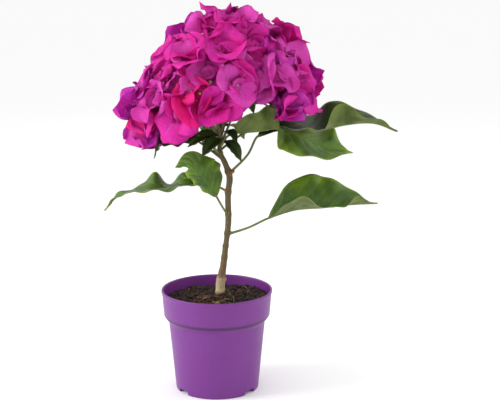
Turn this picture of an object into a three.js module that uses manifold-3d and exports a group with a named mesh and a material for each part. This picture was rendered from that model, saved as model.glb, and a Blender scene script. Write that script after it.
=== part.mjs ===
// A young bougainvillea in a round nursery pot: one slender stem, a few large leaves
// and a dome of papery bracts. Millimetres, +Z up, origin under the middle of the pot.
import * as THREE from "three";
import { mergeVertices } from "three/addons/utils/BufferGeometryUtils.js";
import Module from "manifold-3d";

const wasm = await Module();
wasm.setup();

// ---------- driving dimensions ----------
const GAP = 0.3; // air between neighbouring solids
const SLIVER = 0.08; // a join leaves no edge shorter than this

const POT = {
  height: 110,
  rimRadius: 60, // widest, at the rolled lip
  lip: 2.2, // width of the rolled lip
  collarFoot: { radius: 57.3, z: 81.7 }, // lower end of the collar
  shoulder: { radius: 52.2, z: 75.5 }, // where the body starts under the collar
  baseRadius: 45,
  wall: 1.4,
  footHeight: 4.5,
  footRing: 2.4, // width of the ring that the pot stands on
  floorThickness: 1.6,
  footPadRadius: 13, // flat disc in the middle of the underside
  segments: 40,
  slotBearings: [-142, 98, -38], // degrees round the foot, from +X
  slotWidth: 15,
  slotHeight: 4.3,
  drainRadius: 4.5,
  drainReach: 36, // distance of each drain hole from the middle
};

const SOIL = {
  edgeZ: 97, // surface beside the wall
  moundZ: 100.5, // flat top of the root ball round the stem
  moundRadius: 22,
  roughness: 1.3,
  rings: 6,
  segments: 32,
  seed: 41,
};

// Stem centre line, each row [x, y, z, radius]: a pale swollen foot, a lean to the
// right, a sharp kink back to the left and a thin leader up into the crown.
const STEM = [
  [2.6, -4, 94, 5.9],
  [3.0, -4, 103, 5.0],
  [4.4, -4, 119, 4.9],
  [7.2, -4, 136, 3.5],
  [10.1, -4, 160, 2.8],
  [12.8, -4, 184, 3.2],
  [12.6, -4, 214, 3.2],
  [14.3, -4, 233, 3.3],
  [9.3, -4, 248.6, 3.0],
  [4.2, -4, 260, 2.5],
  [4.6, -3, 275, 2.1],
  [6.0, -1, 300, 1.6],
];
const STEM_SIDES = 10;

const CROWN = {
  centre: [6, 0, 311],
  radii: [78, 76, 78],
  hub: 0.34, // share of the radius where a bough hands over to its mass
  fork: 0.6, // share of the radius where a mass's twig ends
  boughRadii: [1.4, 1.0],
  twigRadii: [1.1, 0.9],
  stalkRadii: [0.8, 1.1],
  firstBough: 263, // height of the lowest bough on the stem
  lastBough: 298,
  neck: 4, // straight length of a bough before its tip
  boughStep: 5, // masses passed over between one bough and the next above it
  lowMasses: 30, // masses with a lower elevation leave the stem before the top ones
  stalkLead: 0.03, // share of the twig that each stalk leaves ahead of its even place
};

// The crown's masses: bearing round the crown from +X, elevation, reach as a share of
// the crown radii, and the lowest elevation of a flower head.
const MASSES = {
  left: [-177, -4, 1.16, -23],
  front_left: [-142, 5, 1.04, -9],
  front: [-109, 18, 0.98, 4],
  front_right: [-61, 21, 1.13, 15],
  right: [-24, 21, 1.19, -6],
  back_right: [14, 18, 1.21, 1],
  back: [65, 2, 1.03, 0],
  back_left: [109, 14, 1.14, -2],
  far_left: [153, 12, 0.98, -24],
  top_left: [-155, 39, 1.02, -2],
  top_right: [-10, 56, 1.21, 4],
  top_front: [-94, 52, 1.18, -1],
  top_back: [109, 47, 1.15, -6],
};

// Flower heads lie over the dome by the golden angle, so no two crowd each other.
const HEADS = {
  count: 76, // from the top of the dome to its lowest edge
  lowest: -22, // elevation of that edge
  turn: 96.9,
  angle: 137.508,
  jitter: 2.5,
  span: 36, // a head further than this from its mass's axis is left out
  sag: 0.056, // how much each mass falls off towards its edge
  root: 0.851, // share of the reach where a head's bracts start
  reachJitter: 0.04,
  sizeJitter: 0.08,
  neighbour: 0.5, // heads with a larger cosine between their axes share a wall
  seedStep: 7919,
  seedStart: 13,
};

// A flower head: three bracts joined into one lobed cup. Leans are in degrees from the
// head's axis, for a closed head and what a wide open one adds.
const HEAD = {
  bracts: 3,
  bractLength: 42.3,
  shortest: 0.92,
  longest: 1.07,
  smallest: 0.7, // size of the most closed head
  thickness: 0.8,
  rows: 3,
  sidesPerBract: 3,
  notch: 0.62, // how far up the cup the notches between the bracts reach
  lobe: 1.8,
  rootDepth: 3, // how far the bracts' roots start below the head
  stalkSink: 2.5, // how far the stalk stops short of the head
  rootLean: { closed: 8, open: 12 },
  tipLean: { closed: 68, open: 42, spread: 12 },
  leanEase: 0.85,
  midribSteps: 8,
  droop: 2.5,
  cellMargin: 0.7, // to the planes halfway to the next heads
  tries: 6, // the last and most closed of these that touches a leaf is left out
  room: 5.5, // distance that a head keeps from the leaves
};
const HEAD_SAMPLES = { rows: 14, bearings: 48 };

// Leaves: the stalk from the stem to the blade, then the midrib. The blade's halves
// tilt from flat by the angles in left and right, spread evenly from base to tip.
const LEAVES = {
  leaf_low_right: {
    stalk: [[12, -4, 171], [34, -3, 178]],
    rib: [[52, -4, 187], [84, -8, 198], [115, -10, 201], [144, -8, 204], [172, -2, 204]],
    up: [0, 0, 1],
    halfWidth: 38,
    outline: { widest: 0.42, taper: 1.15, shoulder: 1.25 },
    left: [72, 68, 66, 62, 60, 45, 20],
    right: [15, 22, 33, 15, 11, 40, 10],
  },
  leaf_mid_right: {
    stalk: [[6, -5, 267], [12, -10, 277]],
    rib: [
      [20, -14, 281], [42, -17, 283], [66, -20, 286],
      [93, -26, 276], [116, -28, 266], [142, -26, 262],
    ],
    up: [0, 0, 1],
    halfWidth: 28,
    outline: { widest: 0.5, taper: 0.9, shoulder: 0.35 },
    left: [30, 30, 20, 0, 0, 5, 10, 20, 30, 45, 70, 50, 30],
    right: [72, 72, 70, 62, 72, -20, -34, -30, -28, -26, -22, -15, 0],
    leftReach: [0.3, 0.3, 0.3, 0.3, 0.4, 0.6, 0.8, 0.9, 1.1, 1.3, 1.5, 1, 1],
  },
  leaf_high_right: {
    stalk: [[14, -4, 237], [33, -2, 256]],
    rib: [
      [43, 6, 274], [73, 14, 282], [107, 20, 278],
      [137, 22, 285], [168, 22, 287], [194, 20, 278],
    ],
    up: [0, 0, 1],
    halfWidth: 34,
    outline: { widest: 0.38, taper: 1.15, shoulder: 0.9 },
    left: [60, 50, 30, 22, 40, 70, 35, 30, 20],
    right: [0, -5, -10, -5, 20, 72, 25, 45, 20],
    rightReach: [0.3, 0.3, 0.35, 0.4, 0.7, 1, 1, 1, 1],
  },
  leaf_low_left: {
    stalk: [[12, -3, 217], [4, 4, 220]],
    rib: [
      [-5, 9, 221], [-27, 4, 223], [-53, -2, 221],
      [-79, -4, 219], [-104, -4, 212], [-119, -2, 196],
    ],
    up: [0, 0, 1],
    halfWidth: 24,
    outline: { widest: 0.38, taper: 1.15, shoulder: 0.9 },
    left: [10, 10, 10, 8, 1, 3, 5, 5, 8, 10, 10],
    leftReach: [1, 0.95, 0.8, 0.85, 0.95, 1, 1, 1],
    right: [20, 30, 38, 5, 6, 44, 10, 2, 16, 5, 0],
  },
  leaf_mid_left: {
    stalk: [[12, -5, 193], [7, -12, 202]],
    rib: [
      [1, -17, 214], [-6, -22, 225], [-14, -27, 237],
      [-21, -28, 246], [-28, -28, 251], [-42, -24, 247],
    ],
    up: [0.9, -1, 0.25],
    halfWidth: 27,
    outline: { widest: 0.36, taper: 1.2, shoulder: 0.6 },
    left: [-65, -65, -62, -55, -50],
    right: [0, 0, 5, 0],
  },
  leaf_shade_left: {
    stalk: [[5, -4, 257], [-6, -12, 269]],
    rib: [[-16, -20, 279], [-31, -24, 277], [-46, -26, 275], [-57, -26, 274], [-63, -24, 256]],
    up: [0, -0.1, 1],
    halfWidth: 11,
    outline: { widest: 0.38, taper: 1.15, shoulder: 0.9 },
    left: [-20],
    right: [20],
  },
  leaf_back_right: {
    stalk: [[5, -4, 262], [18, 16, 270]],
    rib: [[30, 30, 275], [52, 52, 280], [76, 72, 277], [92, 86, 266]],
    up: [0, 0, 1],
    halfWidth: 25,
    outline: { widest: 0.4, taper: 1.1, shoulder: 0.8 },
    left: [30, 20, 25, 10],
    right: [35, 25, 10, 15],
  },
  leaf_back: {
    stalk: [[4, -4, 256], [2, 14, 266]],
    rib: [[0, 32, 272], [-5, 60, 278], [-12, 92, 275], [-16, 118, 264]],
    up: [0, 0, 1],
    halfWidth: 26,
    outline: { widest: 0.4, taper: 1.1, shoulder: 0.8 },
    left: [25, 30, 15, 10],
    right: [40, 20, 20, 10],
  },
  leaf_back_left: {
    stalk: [[7, -4, 252], [-9, 10, 262]],
    rib: [[-24, 22, 270], [-44, 40, 275], [-66, 56, 273], [-82, 66, 265]],
    up: [0, 0, 1],
    halfWidth: 24,
    outline: { widest: 0.4, taper: 1.1, shoulder: 0.8 },
    left: [20, 30, 20, 10],
    right: [35, 25, 15, 10],
  },
};
const BLADE = {
  along: 7,
  across: 2,
  thicknessShare: 1 / 85, // of the blade's length
  fullFold: 6, // half width from which the tilt of a half counts in full
  stalkRadii: [1.5, 1.2],
  stalkSink: 0.07, // share of the midrib that the stalk runs on under
};
const BLADE_SAMPLES = { along: 30, across: 8 };

const FINISH = {
  pot: { color: 0x8d5aa6, roughness: 0.5 },
  soil: { color: 0x2c2019, roughness: 1 },
  bark: { color: 0x7d7350, roughness: 0.85 },
  bough: { color: 0x5f6a3a, roughness: 0.8 },
  leaf: { color: 0x4c6f2b, roughness: 0.45 },
  bract: { color: 0xb5248a, roughness: 0.6 },
};

// ---------- small helpers ----------
const vector = (row) => new THREE.Vector3(row[0], row[1], row[2]);
const radians = THREE.MathUtils.degToRad;
const degrees = THREE.MathUtils.radToDeg;
const { lerp, clamp, smoothstep } = THREE.MathUtils;

// Seeded draws: the same seed always grows the same plant.
class Draws {
  constructor(seed) {
    this.state = seed >>> 0;
  }

  between(low, high) {
    this.state = (Math.imul(1664525, this.state) + 1013904223) >>> 0;
    return low + ((high - low) * this.state) / 4294967296;
  }

  round(middle, spread) {
    return this.between(middle - spread, middle + spread);
  }
}

// A smooth value at t (0 to 1) through evenly spaced keys.
function keyed(keys, t) {
  if (keys.length === 1) return keys[0];
  const last = keys.length - 1;
  const at = (i) => keys[clamp(i, 0, last)];
  const k = Math.min(Math.floor(t * last), last - 1);
  const f = t * last - k;
  const [a, b, c, d] = [at(k - 1), at(k), at(k + 1), at(k + 2)];
  const slope = (c - a) * f;
  const square = (2 * a - 5 * b + 4 * c - d) * f * f;
  const cube = (3 * b - a - 3 * c + d) * f * f * f;
  return 0.5 * (2 * b + slope + square + cube);
}

// Unit vector at a bearing and an elevation in degrees.
function heading(bearing, elevation) {
  const polar = radians(90 - elevation);
  return new THREE.Vector3(
    Math.sin(polar) * Math.cos(radians(bearing)),
    Math.sin(polar) * Math.sin(radians(bearing)),
    Math.cos(polar),
  );
}

// Two unit vectors square to an axis and to each other.
function squareTo(axis) {
  const steep = Math.abs(axis.z) >= 0.9;
  const reference = steep ? new THREE.Vector3(1, 0, 0) : new THREE.Vector3(0, 0, 1);
  const across = reference.cross(axis).normalize();
  return [across, axis.clone().cross(across)];
}

function smoothCurve(points) {
  return new THREE.CatmullRomCurve3(points, false, "catmullrom", 0.5);
}

// ---------- solids ----------
// Welds a geometry's corners and drops faces that have shrunk to a line.
function weld(geometry) {
  const bare = geometry.clone();
  bare.deleteAttribute("normal");
  bare.deleteAttribute("uv");
  const welded = mergeVertices(bare, 1e-3);
  const index = welded.index.array;
  const kept = [];
  for (let i = 0; i < index.length; i += 3) {
    const [a, b, c] = index.slice(i, i + 3);
    if (a !== b && b !== c && c !== a) kept.push(a, b, c);
  }
  return { positions: welded.attributes.position.array, triangles: new Uint32Array(kept) };
}

function solid(geometry) {
  const { positions, triangles } = weld(geometry);
  return new wasm.Manifold(
    new wasm.Mesh({ numProp: 3, vertProperties: positions, triVerts: triangles }),
  );
}

function geometryOf(body) {
  const mesh = body.getMesh();
  const geometry = new THREE.BufferGeometry();
  geometry.setAttribute("position", new THREE.BufferAttribute(mesh.vertProperties, 3));
  geometry.setIndex(new THREE.BufferAttribute(mesh.triVerts, 1));
  geometry.computeVertexNormals();
  return geometry;
}

// Draws the ends of every edge shorter than SLIVER together, so that a join leaves no
// face too thin to mesh.
function closeShortEdges(body) {
  const { vertProperties, triVerts } = body.getMesh();
  const corner = (i) => new THREE.Vector3().fromArray(vertProperties, 3 * i);
  const merged = Array.from({ length: vertProperties.length / 3 }, (_, i) => i);
  const find = (i) => (merged[i] === i ? i : find(merged[i]));
  for (let i = 0; i < triVerts.length; i += 3) {
    for (let k = 0; k < 3; k += 1) {
      const [a, b] = [find(triVerts[i + k]), find(triVerts[i + ((k + 1) % 3)])];
      if (a !== b && corner(a).distanceTo(corner(b)) < SLIVER) merged[b] = a;
    }
  }
  const positions = new THREE.BufferAttribute(vertProperties, 3);
  const geometry = new THREE.BufferGeometry().setAttribute("position", positions);
  return solid(geometry.setIndex(Array.from(triVerts, find)));
}

// Joins bodies and keeps the largest piece, so that a loose scrap is dropped.
function fuse(bodies) {
  const joined = bodies.reduce((sum, body) => sum.add(body));
  const largest = joined.decompose().reduce((a, b) => (a.volume() > b.volume() ? a : b));
  return closeShortEdges(largest);
}

// Moves every vertex of a geometry to where place(x, y, z) puts it.
function bend(geometry, place) {
  const positions = geometry.attributes.position;
  for (let i = 0; i < positions.count; i += 1) {
    const p = place(positions.getX(i), positions.getY(i), positions.getZ(i));
    positions.setXYZ(i, p.x, p.y, p.z);
  }
  return geometry;
}

// Splits the quads whose first corner isAway() along their other diagonal. The two skins
// of a thin shell are then split alike, so that neither passes through the other.
function turnDiagonals(geometry, isAway) {
  const index = Array.from(geometry.index.array);
  const { position } = geometry.attributes;
  for (let i = 0; i + 5 < index.length; i += 3) {
    const [a, b, d, sameB, c, sameD] = index.slice(i, i + 6);
    if (b !== sameB || d !== sameD) continue;
    const corner = new THREE.Vector3().fromBufferAttribute(position, a);
    if (isAway(corner)) index.splice(i, 6, a, b, c, a, c, d);
    i += 3;
  }
  return geometry.setIndex(index);
}

// A round tapering limb along a curve through rows [x, y, z, radius].
function limb(rows, { sides, steps, grow = 0 }) {
  const spans = rows.length - 1;
  const curve = smoothCurve(rows.map(vector));
  const count = spans * steps;
  const frames = [];
  let across = squareTo(curve.getTangent(0))[0];
  for (let i = 0; i <= count; i += 1) {
    const tangent = curve.getTangent(i / count);
    across = across.clone().addScaledVector(tangent, -across.dot(tangent)).normalize();
    const k = Math.min(Math.floor(i / steps), spans - 1);
    const radius = lerp(rows[k][3], rows[k + 1][3], i / steps - k) + grow;
    const depth = across.clone().cross(tangent);
    frames.push({ centre: curve.getPoint(i / count), across, depth, radius });
  }
  const tube = new THREE.CylinderGeometry(1, 1, 1, sides, count);
  return solid(
    bend(tube, (x, y, z) => {
      const frame = frames[Math.round((y + 0.5) * count)];
      return frame.centre
        .clone()
        .addScaledVector(frame.across, x * frame.radius)
        .addScaledVector(frame.depth, z * frame.radius);
    }),
  );
}

// ---------- leaf blades ----------
// Half width of a blade at t from base to tip, as a share of its greatest.
function outlineShare(t, { widest, taper, shoulder }) {
  const quarter = Math.PI / 2;
  if (t < widest) return Math.sin(quarter * (t / widest)) ** shoulder;
  return Math.max(0, Math.cos(quarter * ((t - widest) / (1 - widest)))) ** taper;
}

// The surface of a blade: point and normal at (t, s), where t runs from base to tip
// and s from the left margin (-1) over the midrib (0) to the right margin (1).
function bladeSurface(leaf) {
  const curve = smoothCurve(leaf.rib.map(vector));
  const upright = vector(leaf.up);
  return (t, s) => {
    const tangent = curve.getTangentAt(t);
    const up = upright.clone().addScaledVector(tangent, -upright.dot(tangent)).normalize();
    const across = tangent.clone().cross(up);
    const half = leaf.halfWidth * outlineShare(t, leaf.outline);
    const reach = half * keyed((s < 0 ? leaf.leftReach : leaf.rightReach) ?? [1], t);
    const folded = Math.min(1, half / BLADE.fullFold);
    const tilt = (side) => radians(keyed(side < 0 ? leaf.left : leaf.right, t) * folded);
    const side = Math.sign(s);
    const angle = tilt(side);
    const point = curve.getPointAt(t);
    point.addScaledVector(across, reach * s * Math.cos(angle));
    point.addScaledVector(up, reach * Math.abs(s) * Math.sin(angle));
    const crease = (Math.sin(tilt(1)) - Math.sin(tilt(-1))) / 2;
    const lean = side === 0 ? crease : side * Math.sin(angle);
    const normal = up.clone().multiplyScalar(Math.cos(angle)).addScaledVector(across, -lean);
    return { point, normal: normal.normalize() };
  };
}

// A blade as a closed lens: full thickness inside, none at the margin and the tip.
function bladeGeometry(leaf) {
  const surface = bladeSurface(leaf);
  const thickness = smoothCurve(leaf.rib.map(vector)).getLength() * BLADE.thicknessShare;
  const box = new THREE.BoxGeometry(2, 1, 1, 2 * BLADE.across, BLADE.along, 1);
  turnDiagonals(box, (corner) => corner.z < 0);
  return bend(box, (x, y, z) => {
    const t = y + 0.5;
    const { point, normal } = surface(t, x);
    const margin = Math.abs(x) > 0.999 || t > 0.999;
    return point.addScaledVector(normal, margin ? 0 : z * thickness);
  });
}

// Points spread over a blade, for the room that the flower heads keep from it.
function bladeSamples(leaf) {
  const surface = bladeSurface(leaf);
  const { along, across } = BLADE_SAMPLES;
  const points = [];
  for (let i = 0; i <= along; i += 1) {
    for (let j = -across; j <= across; j += 1) points.push(surface(i / along, j / across).point);
  }
  return points;
}

// Points along a limb's centre line.
function limbSamples(rows) {
  const spacing = 1.5;
  const curve = smoothCurve(rows.map(vector));
  return curve.getSpacedPoints(Math.max(2, Math.ceil(curve.getLength() / spacing)));
}

// ---------- pot and soil ----------
// The pot's outer radius at a height on its plain tapering body.
function potBodyRadius(z) {
  return lerp(POT.baseRadius, POT.shoulder.radius, z / POT.shoulder.z);
}

function buildPot() {
  const { height, rimRadius, collarFoot, shoulder, baseRadius, wall, lip } = POT;
  const { footHeight, footRing, footPadRadius } = POT;
  const floorZ = footHeight + POT.floorThickness;
  const outline = [
    [0, 0],
    [footPadRadius, 0],
    [footPadRadius, footHeight],
    [baseRadius - footRing - 0.2, footHeight],
    [baseRadius - footRing + 0.2, 0],
    [baseRadius - 0.4, 0],
    [baseRadius, 0.6],
    [shoulder.radius, shoulder.z],
    [shoulder.radius + wall, shoulder.z + wall],
    [collarFoot.radius - 0.6, collarFoot.z - 1.2],
    [collarFoot.radius, collarFoot.z],
    [rimRadius - 0.8, height - 4],
    [rimRadius, height - 1.6],
    [rimRadius - 0.3, height - 0.3],
    [rimRadius - lip / 2, height],
    [rimRadius - lip, height - 0.6],
    [rimRadius - 0.8 - wall * 1.2, height - 4],
    [collarFoot.radius - wall, collarFoot.z + 0.4],
    [shoulder.radius - wall * 0.6, shoulder.z + 1.6],
    [shoulder.radius - wall, shoulder.z - 1],
    [potBodyRadius(floorZ) - wall, floorZ],
    [0, floorZ],
  ];
  const profile = outline.map(([radius, z]) => new THREE.Vector2(radius, z));
  let body = solid(new THREE.LatheGeometry(profile, POT.segments).rotateX(Math.PI / 2));
  for (const bearing of POT.slotBearings) {
    const slot = new THREE.BoxGeometry(10, POT.slotWidth, POT.slotHeight * 2);
    slot.translate(baseRadius - 1, 0, 0).rotateZ(radians(bearing));
    const drain = new THREE.CylinderGeometry(POT.drainRadius, POT.drainRadius, 12, 12);
    drain.rotateX(Math.PI / 2).translate(POT.drainReach, 0, floorZ).rotateZ(radians(bearing));
    body = body.subtract(solid(slot)).subtract(solid(drain));
  }
  return body;
}

// The filled root ball: a lumpy top with a flat mound round the stem.
function buildSoil() {
  const { edgeZ, moundZ, moundRadius, roughness, rings, segments, seed } = SOIL;
  const draws = new Draws(seed);
  const clear = POT.wall + 2 * GAP;
  const floorZ = POT.footHeight + POT.floorThickness + GAP;
  const edgeRadius = POT.collarFoot.radius - clear;
  const outline = [
    [0, floorZ],
    [potBodyRadius(floorZ) - clear, floorZ],
    [POT.shoulder.radius - clear, POT.shoulder.z],
    [POT.shoulder.radius - clear, POT.shoulder.z + 2],
    [edgeRadius, POT.collarFoot.z + 1],
  ];
  for (let ring = 0; ring < rings; ring += 1) {
    const radius = edgeRadius * (1 - ring / rings);
    const rise = smoothstep(moundRadius * 1.5 - radius, 0, moundRadius * 0.6);
    outline.push([radius, lerp(edgeZ, moundZ, rise)]);
  }
  outline.push([0, moundZ]);
  const profile = outline.map(([radius, z]) => new THREE.Vector2(radius, z));
  const turned = new THREE.LatheGeometry(profile, segments).rotateX(Math.PI / 2);
  const bumps = new Map();
  return solid(
    bend(turned, (x, y, z) => {
      const radius = Math.hypot(x, y);
      const rough = z > edgeZ - 1 && radius > moundRadius * 0.7 && radius < edgeRadius - 1;
      const key = `${Math.round(x * 100)},${Math.round(y * 100)}`;
      if (rough && !bumps.has(key)) bumps.set(key, draws.round(0, roughness));
      return new THREE.Vector3(x, y, z + (rough ? bumps.get(key) : 0));
    }),
  );
}

// ---------- stem and leaves ----------
function stemPoint(z) {
  const upper = Math.max(1, STEM.findIndex((row) => row[2] >= z));
  const [a, b] = [STEM[upper - 1], STEM[upper]];
  return vector(a).lerp(vector(b), (z - a[2]) / (b[2] - a[2]));
}

// The stem, cut flat just over the soil.
function buildStem() {
  const side = 40;
  const below = new THREE.BoxGeometry(side, side, side);
  below.translate(0, 0, SOIL.moundZ + GAP - side / 2);
  return limb(STEM, { sides: STEM_SIDES, steps: 2 }).subtract(solid(below));
}

// The stem with the air round it, which leaf stalks and boughs are cut with.
function stemGuard() {
  return limb(STEM, { sides: STEM_SIDES, steps: 2, grow: GAP + 0.05 });
}

// The stalk's rows: from the stem to a little way under the midrib.
function stalkRows(leaf) {
  const [thick, thin] = BLADE.stalkRadii;
  const sunk = bladeSurface(leaf)(BLADE.stalkSink, 0).point;
  return [
    [...leaf.stalk[0], thick],
    [...leaf.stalk[1], thin],
    [...leaf.rib[0], thin],
    [...sunk.toArray(), thin * 0.7],
  ];
}

function buildLeaf(leaf, guard) {
  const stalk = limb(stalkRows(leaf), { sides: 5, steps: 1 });
  return fuse([stalk.add(solid(bladeGeometry(leaf))).subtract(guard)]);
}

// ---------- crown ----------
const CROWN_CENTRE = vector(CROWN.centre);

// The point on a ray from the crown's centre at a share of the crown's radii.
function crownPoint(direction, share) {
  const radii = vector(CROWN.radii);
  return CROWN_CENTRE.clone().add(direction.clone().multiply(radii).multiplyScalar(share));
}

function massAxis(mass) {
  return heading(MASSES[mass][0], MASSES[mass][1]);
}

// The head at place i of the lattice, or nothing where its mass doesn't reach.
function latticeHead(i) {
  const draws = new Draws(HEADS.seedStep * (i + 1) + HEADS.seedStart);
  const depth = (1 - Math.sin(radians(HEADS.lowest))) * ((i + 0.5) / HEADS.count);
  const elevation = degrees(Math.asin(1 - depth)) + draws.round(0, HEADS.jitter);
  const bearing = HEADS.turn + HEADS.angle * i + draws.round(0, HEADS.jitter);
  const direction = heading(bearing, elevation);
  const nearness = (mass) => massAxis(mass).dot(direction);
  const owner = Object.keys(MASSES).reduce((a, b) => (nearness(a) > nearness(b) ? a : b));
  const [, , reach, lowest] = MASSES[owner];
  const aside = degrees(massAxis(owner).angleTo(direction)) / HEADS.span;
  if (aside > 1 || elevation < lowest) return [];
  const fall = 1 - HEADS.sag * aside * aside;
  const root = crownPoint(direction, HEADS.root * reach * fall * draws.round(1, HEADS.reachJitter));
  const axis = root.clone().sub(CROWN_CENTRE).normalize();
  const opening = draws.between(0, 1);
  const size = draws.round(1, HEADS.sizeJitter);
  return [{ mass: owner, root, axis, opening, size, seed: draws.state }];
}

// Every head of the crown with the walls of its cell, halfway to the heads round it.
function crownHeads() {
  const heads = Array.from({ length: HEADS.count }, (_, i) => latticeHead(i)).flat();
  for (const head of heads) {
    const near = (other) => other !== head && other.axis.dot(head.axis) > HEADS.neighbour;
    head.walls = heads.filter(near).map((other) => head.axis.clone().sub(other.axis).normalize());
  }
  return heads;
}

// A head's bracts at one try: how they are turned, how long they are and how far they
// open. Every later try is smaller and more closed.
function openHead(head, attempt, draws) {
  const share = 1 - attempt / HEAD.tries;
  const opening = head.opening * share;
  const size = head.size * lerp(HEAD.smallest, 1, share);
  const spin = draws.between(0, 360);
  const { rootLean, tipLean } = HEAD;
  const bracts = Array.from({ length: HEAD.bracts }, () => ({
    length: HEAD.bractLength * size * draws.between(HEAD.shortest, HEAD.longest),
    finish: tipLean.closed + tipLean.open * opening + draws.round(0, tipLean.spread),
  }));
  return { ...head, spin, start: rootLean.closed + rootLean.open * opening, bracts };
}

// Distance from the axis and height above the root, at t along a bract's midrib.
function midrib(length, start, finish, t) {
  const step = (length * t) / HEAD.midribSteps;
  let away = 0;
  let rise = -HEAD.rootDepth;
  for (let i = 0; i < HEAD.midribSteps; i += 1) {
    const along = ((i + 0.5) / HEAD.midribSteps) * t;
    const lean = radians(lerp(start, finish, along ** HEAD.leanEase));
    away += step * Math.sin(lean);
    rise += step * Math.cos(lean);
  }
  return { away, rise };
}

// The surface of an opened head, one lobed cup: a point at (r, bearing), where r runs
// from the root to the rim and the rim sinks to a notch between each two bracts.
function headSurface(head) {
  const [across, along] = squareTo(head.axis);
  const sector = 360 / HEAD.bracts;
  return (r, bearing) => {
    const turn = (((bearing - head.spin) % 360) + 360) % 360;
    const k = Math.floor(turn / sector);
    const f = turn / sector - k;
    const [a, b] = [head.bracts[k], head.bracts[(k + 1) % HEAD.bracts]];
    const ease = smoothstep(f, 0, 1);
    const aside = 1 - Math.abs(1 - 2 * f);
    const t = r * lerp(1, HEAD.notch, aside ** HEAD.lobe);
    const length = lerp(a.length, b.length, ease);
    const { away, rise } = midrib(length, head.start, lerp(a.finish, b.finish, ease), t);
    const outward = across.clone().multiplyScalar(Math.cos(radians(bearing)));
    outward.addScaledVector(along, Math.sin(radians(bearing)));
    const point = head.root.clone().addScaledVector(outward, away);
    point.addScaledVector(head.axis, rise);
    point.z -= HEAD.droop * t * t;
    for (const wall of head.walls) {
      const inside = point.clone().sub(CROWN_CENTRE).dot(wall);
      point.addScaledVector(wall, Math.max(0, HEAD.cellMargin - inside));
    }
    return point;
  };
}

// A sphere bent into the cup: its equator is the rim, its poles meet at the root.
function headGeometry(head) {
  const surface = headSurface(head);
  const middle = head.root.clone().addScaledVector(head.axis, HEAD.bractLength);
  const half = HEAD.thickness / 2;
  const ball = new THREE.SphereGeometry(1, HEAD.sidesPerBract * HEAD.bracts, 2 * HEAD.rows);
  turnDiagonals(ball, (corner) => corner.y < 0.001);
  return bend(ball, (x, y, z) => {
    const polar = Math.acos(clamp(y, -1, 1)) / (Math.PI / 2);
    const inner = polar < 1;
    const r = inner ? polar : 2 - polar;
    const pole = r < 0.001;
    const bearing = pole ? 0 : degrees(Math.atan2(z, x));
    const point = surface(r, head.spin - bearing);
    const inward = middle.clone().sub(point).normalize();
    if (r > 0.999) return point;
    if (!inner) return point.addScaledVector(inward, -half);
    return point.addScaledVector(inward, half + (pole ? HEAD.rootDepth : 0));
  });
}

function headSamples(head) {
  const surface = headSurface(head);
  const { rows, bearings } = HEAD_SAMPLES;
  const points = [];
  for (let i = 1; i <= rows; i += 1) {
    for (let j = 0; j < bearings; j += 1) points.push(surface(i / rows, (360 * j) / bearings));
  }
  return points;
}

// Where the boughs leave the stem, low masses first and neighbours far apart, and
// where they hand over to their masses.
function planMasses(heads) {
  const names = Object.keys(MASSES);
  const low = names.filter((name) => MASSES[name][1] < CROWN.lowMasses);
  const climb = low.map((_, i) => low[(i * CROWN.boughStep) % low.length]);
  climb.push(...names.filter((name) => !low.includes(name)));
  return names.map((name) => {
    const axis = massAxis(name);
    const level = climb.indexOf(name) / (names.length - 1);
    const foot = stemPoint(lerp(CROWN.firstBough, CROWN.lastBough, level));
    const own = heads.filter((head) => head.mass === name);
    own.sort((a, b) => a.axis.dot(axis) - b.axis.dot(axis));
    const [hub, fork] = [crownPoint(axis, CROWN.hub), crownPoint(axis, CROWN.fork)];
    return { name, foot, hub, fork, heads: own };
  });
}

function boughRows({ foot, hub, fork }) {
  const [thick, thin] = CROWN.boughRadii;
  const ahead = fork.clone().sub(hub).normalize();
  const neck = hub.clone().addScaledVector(ahead, -CROWN.neck);
  const tip = hub.clone().addScaledVector(ahead, -GAP);
  return [
    [...foot.toArray(), thick],
    [...foot.clone().lerp(neck, 0.5).toArray(), (thick + thin) / 2],
    [...neck.toArray(), thin],
    [...tip.toArray(), thin],
  ];
}

// Every twig of a mass: one from the hub to the fork, and the stalks that leave it one
// after another to the heads, the middle head's last.
function twigRows({ hub, fork, heads }) {
  const [thick, thin] = CROWN.twigRadii;
  const [stalk, cup] = CROWN.stalkRadii;
  const rows = [[[...hub.toArray(), thick], [...fork.toArray(), thin]]];
  heads.forEach((head, k) => {
    const foot = hub.clone().lerp(fork, (k + 1) / heads.length - CROWN.stalkLead);
    const tip = head.root.clone().addScaledVector(head.axis, -HEAD.stalkSink);
    rows.push([
      [...foot.toArray(), stalk * 0.9],
      [...foot.lerp(tip, 0.5).toArray(), stalk],
      [...tip.toArray(), cup],
    ]);
  });
  return rows;
}

// A head as wide open as the leaves leave it room, or nothing where no try fits.
function growHead(head, taken) {
  const draws = new Draws(head.seed);
  for (let attempt = 0; attempt < HEAD.tries; attempt += 1) {
    const opened = openHead(head, attempt, draws);
    const touches = (p) => taken.some((q) => p.distanceTo(q) < HEAD.room);
    if (!headSamples(opened).some(touches)) return [solid(headGeometry(opened))];
  }
  return [];
}

function buildMass(plan, taken) {
  const twigs = twigRows(plan).map((rows) => limb(rows, { sides: 3, steps: 1 }));
  return fuse([...twigs, ...plan.heads.flatMap((head) => growHead(head, taken))]);
}

// ---------- the plant ----------
const plant = new THREE.Group();
plant.name = "potted_bougainvillea";

function place(name, body, finish) {
  const material = new THREE.MeshStandardMaterial({ ...FINISH[finish], metalness: 0 });
  const mesh = new THREE.Mesh(geometryOf(body), material);
  mesh.name = name;
  plant.add(mesh);
}

place("pot", buildPot(), "pot");
place("soil", buildSoil(), "soil");
place("stem", buildStem(), "bark");

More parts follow.
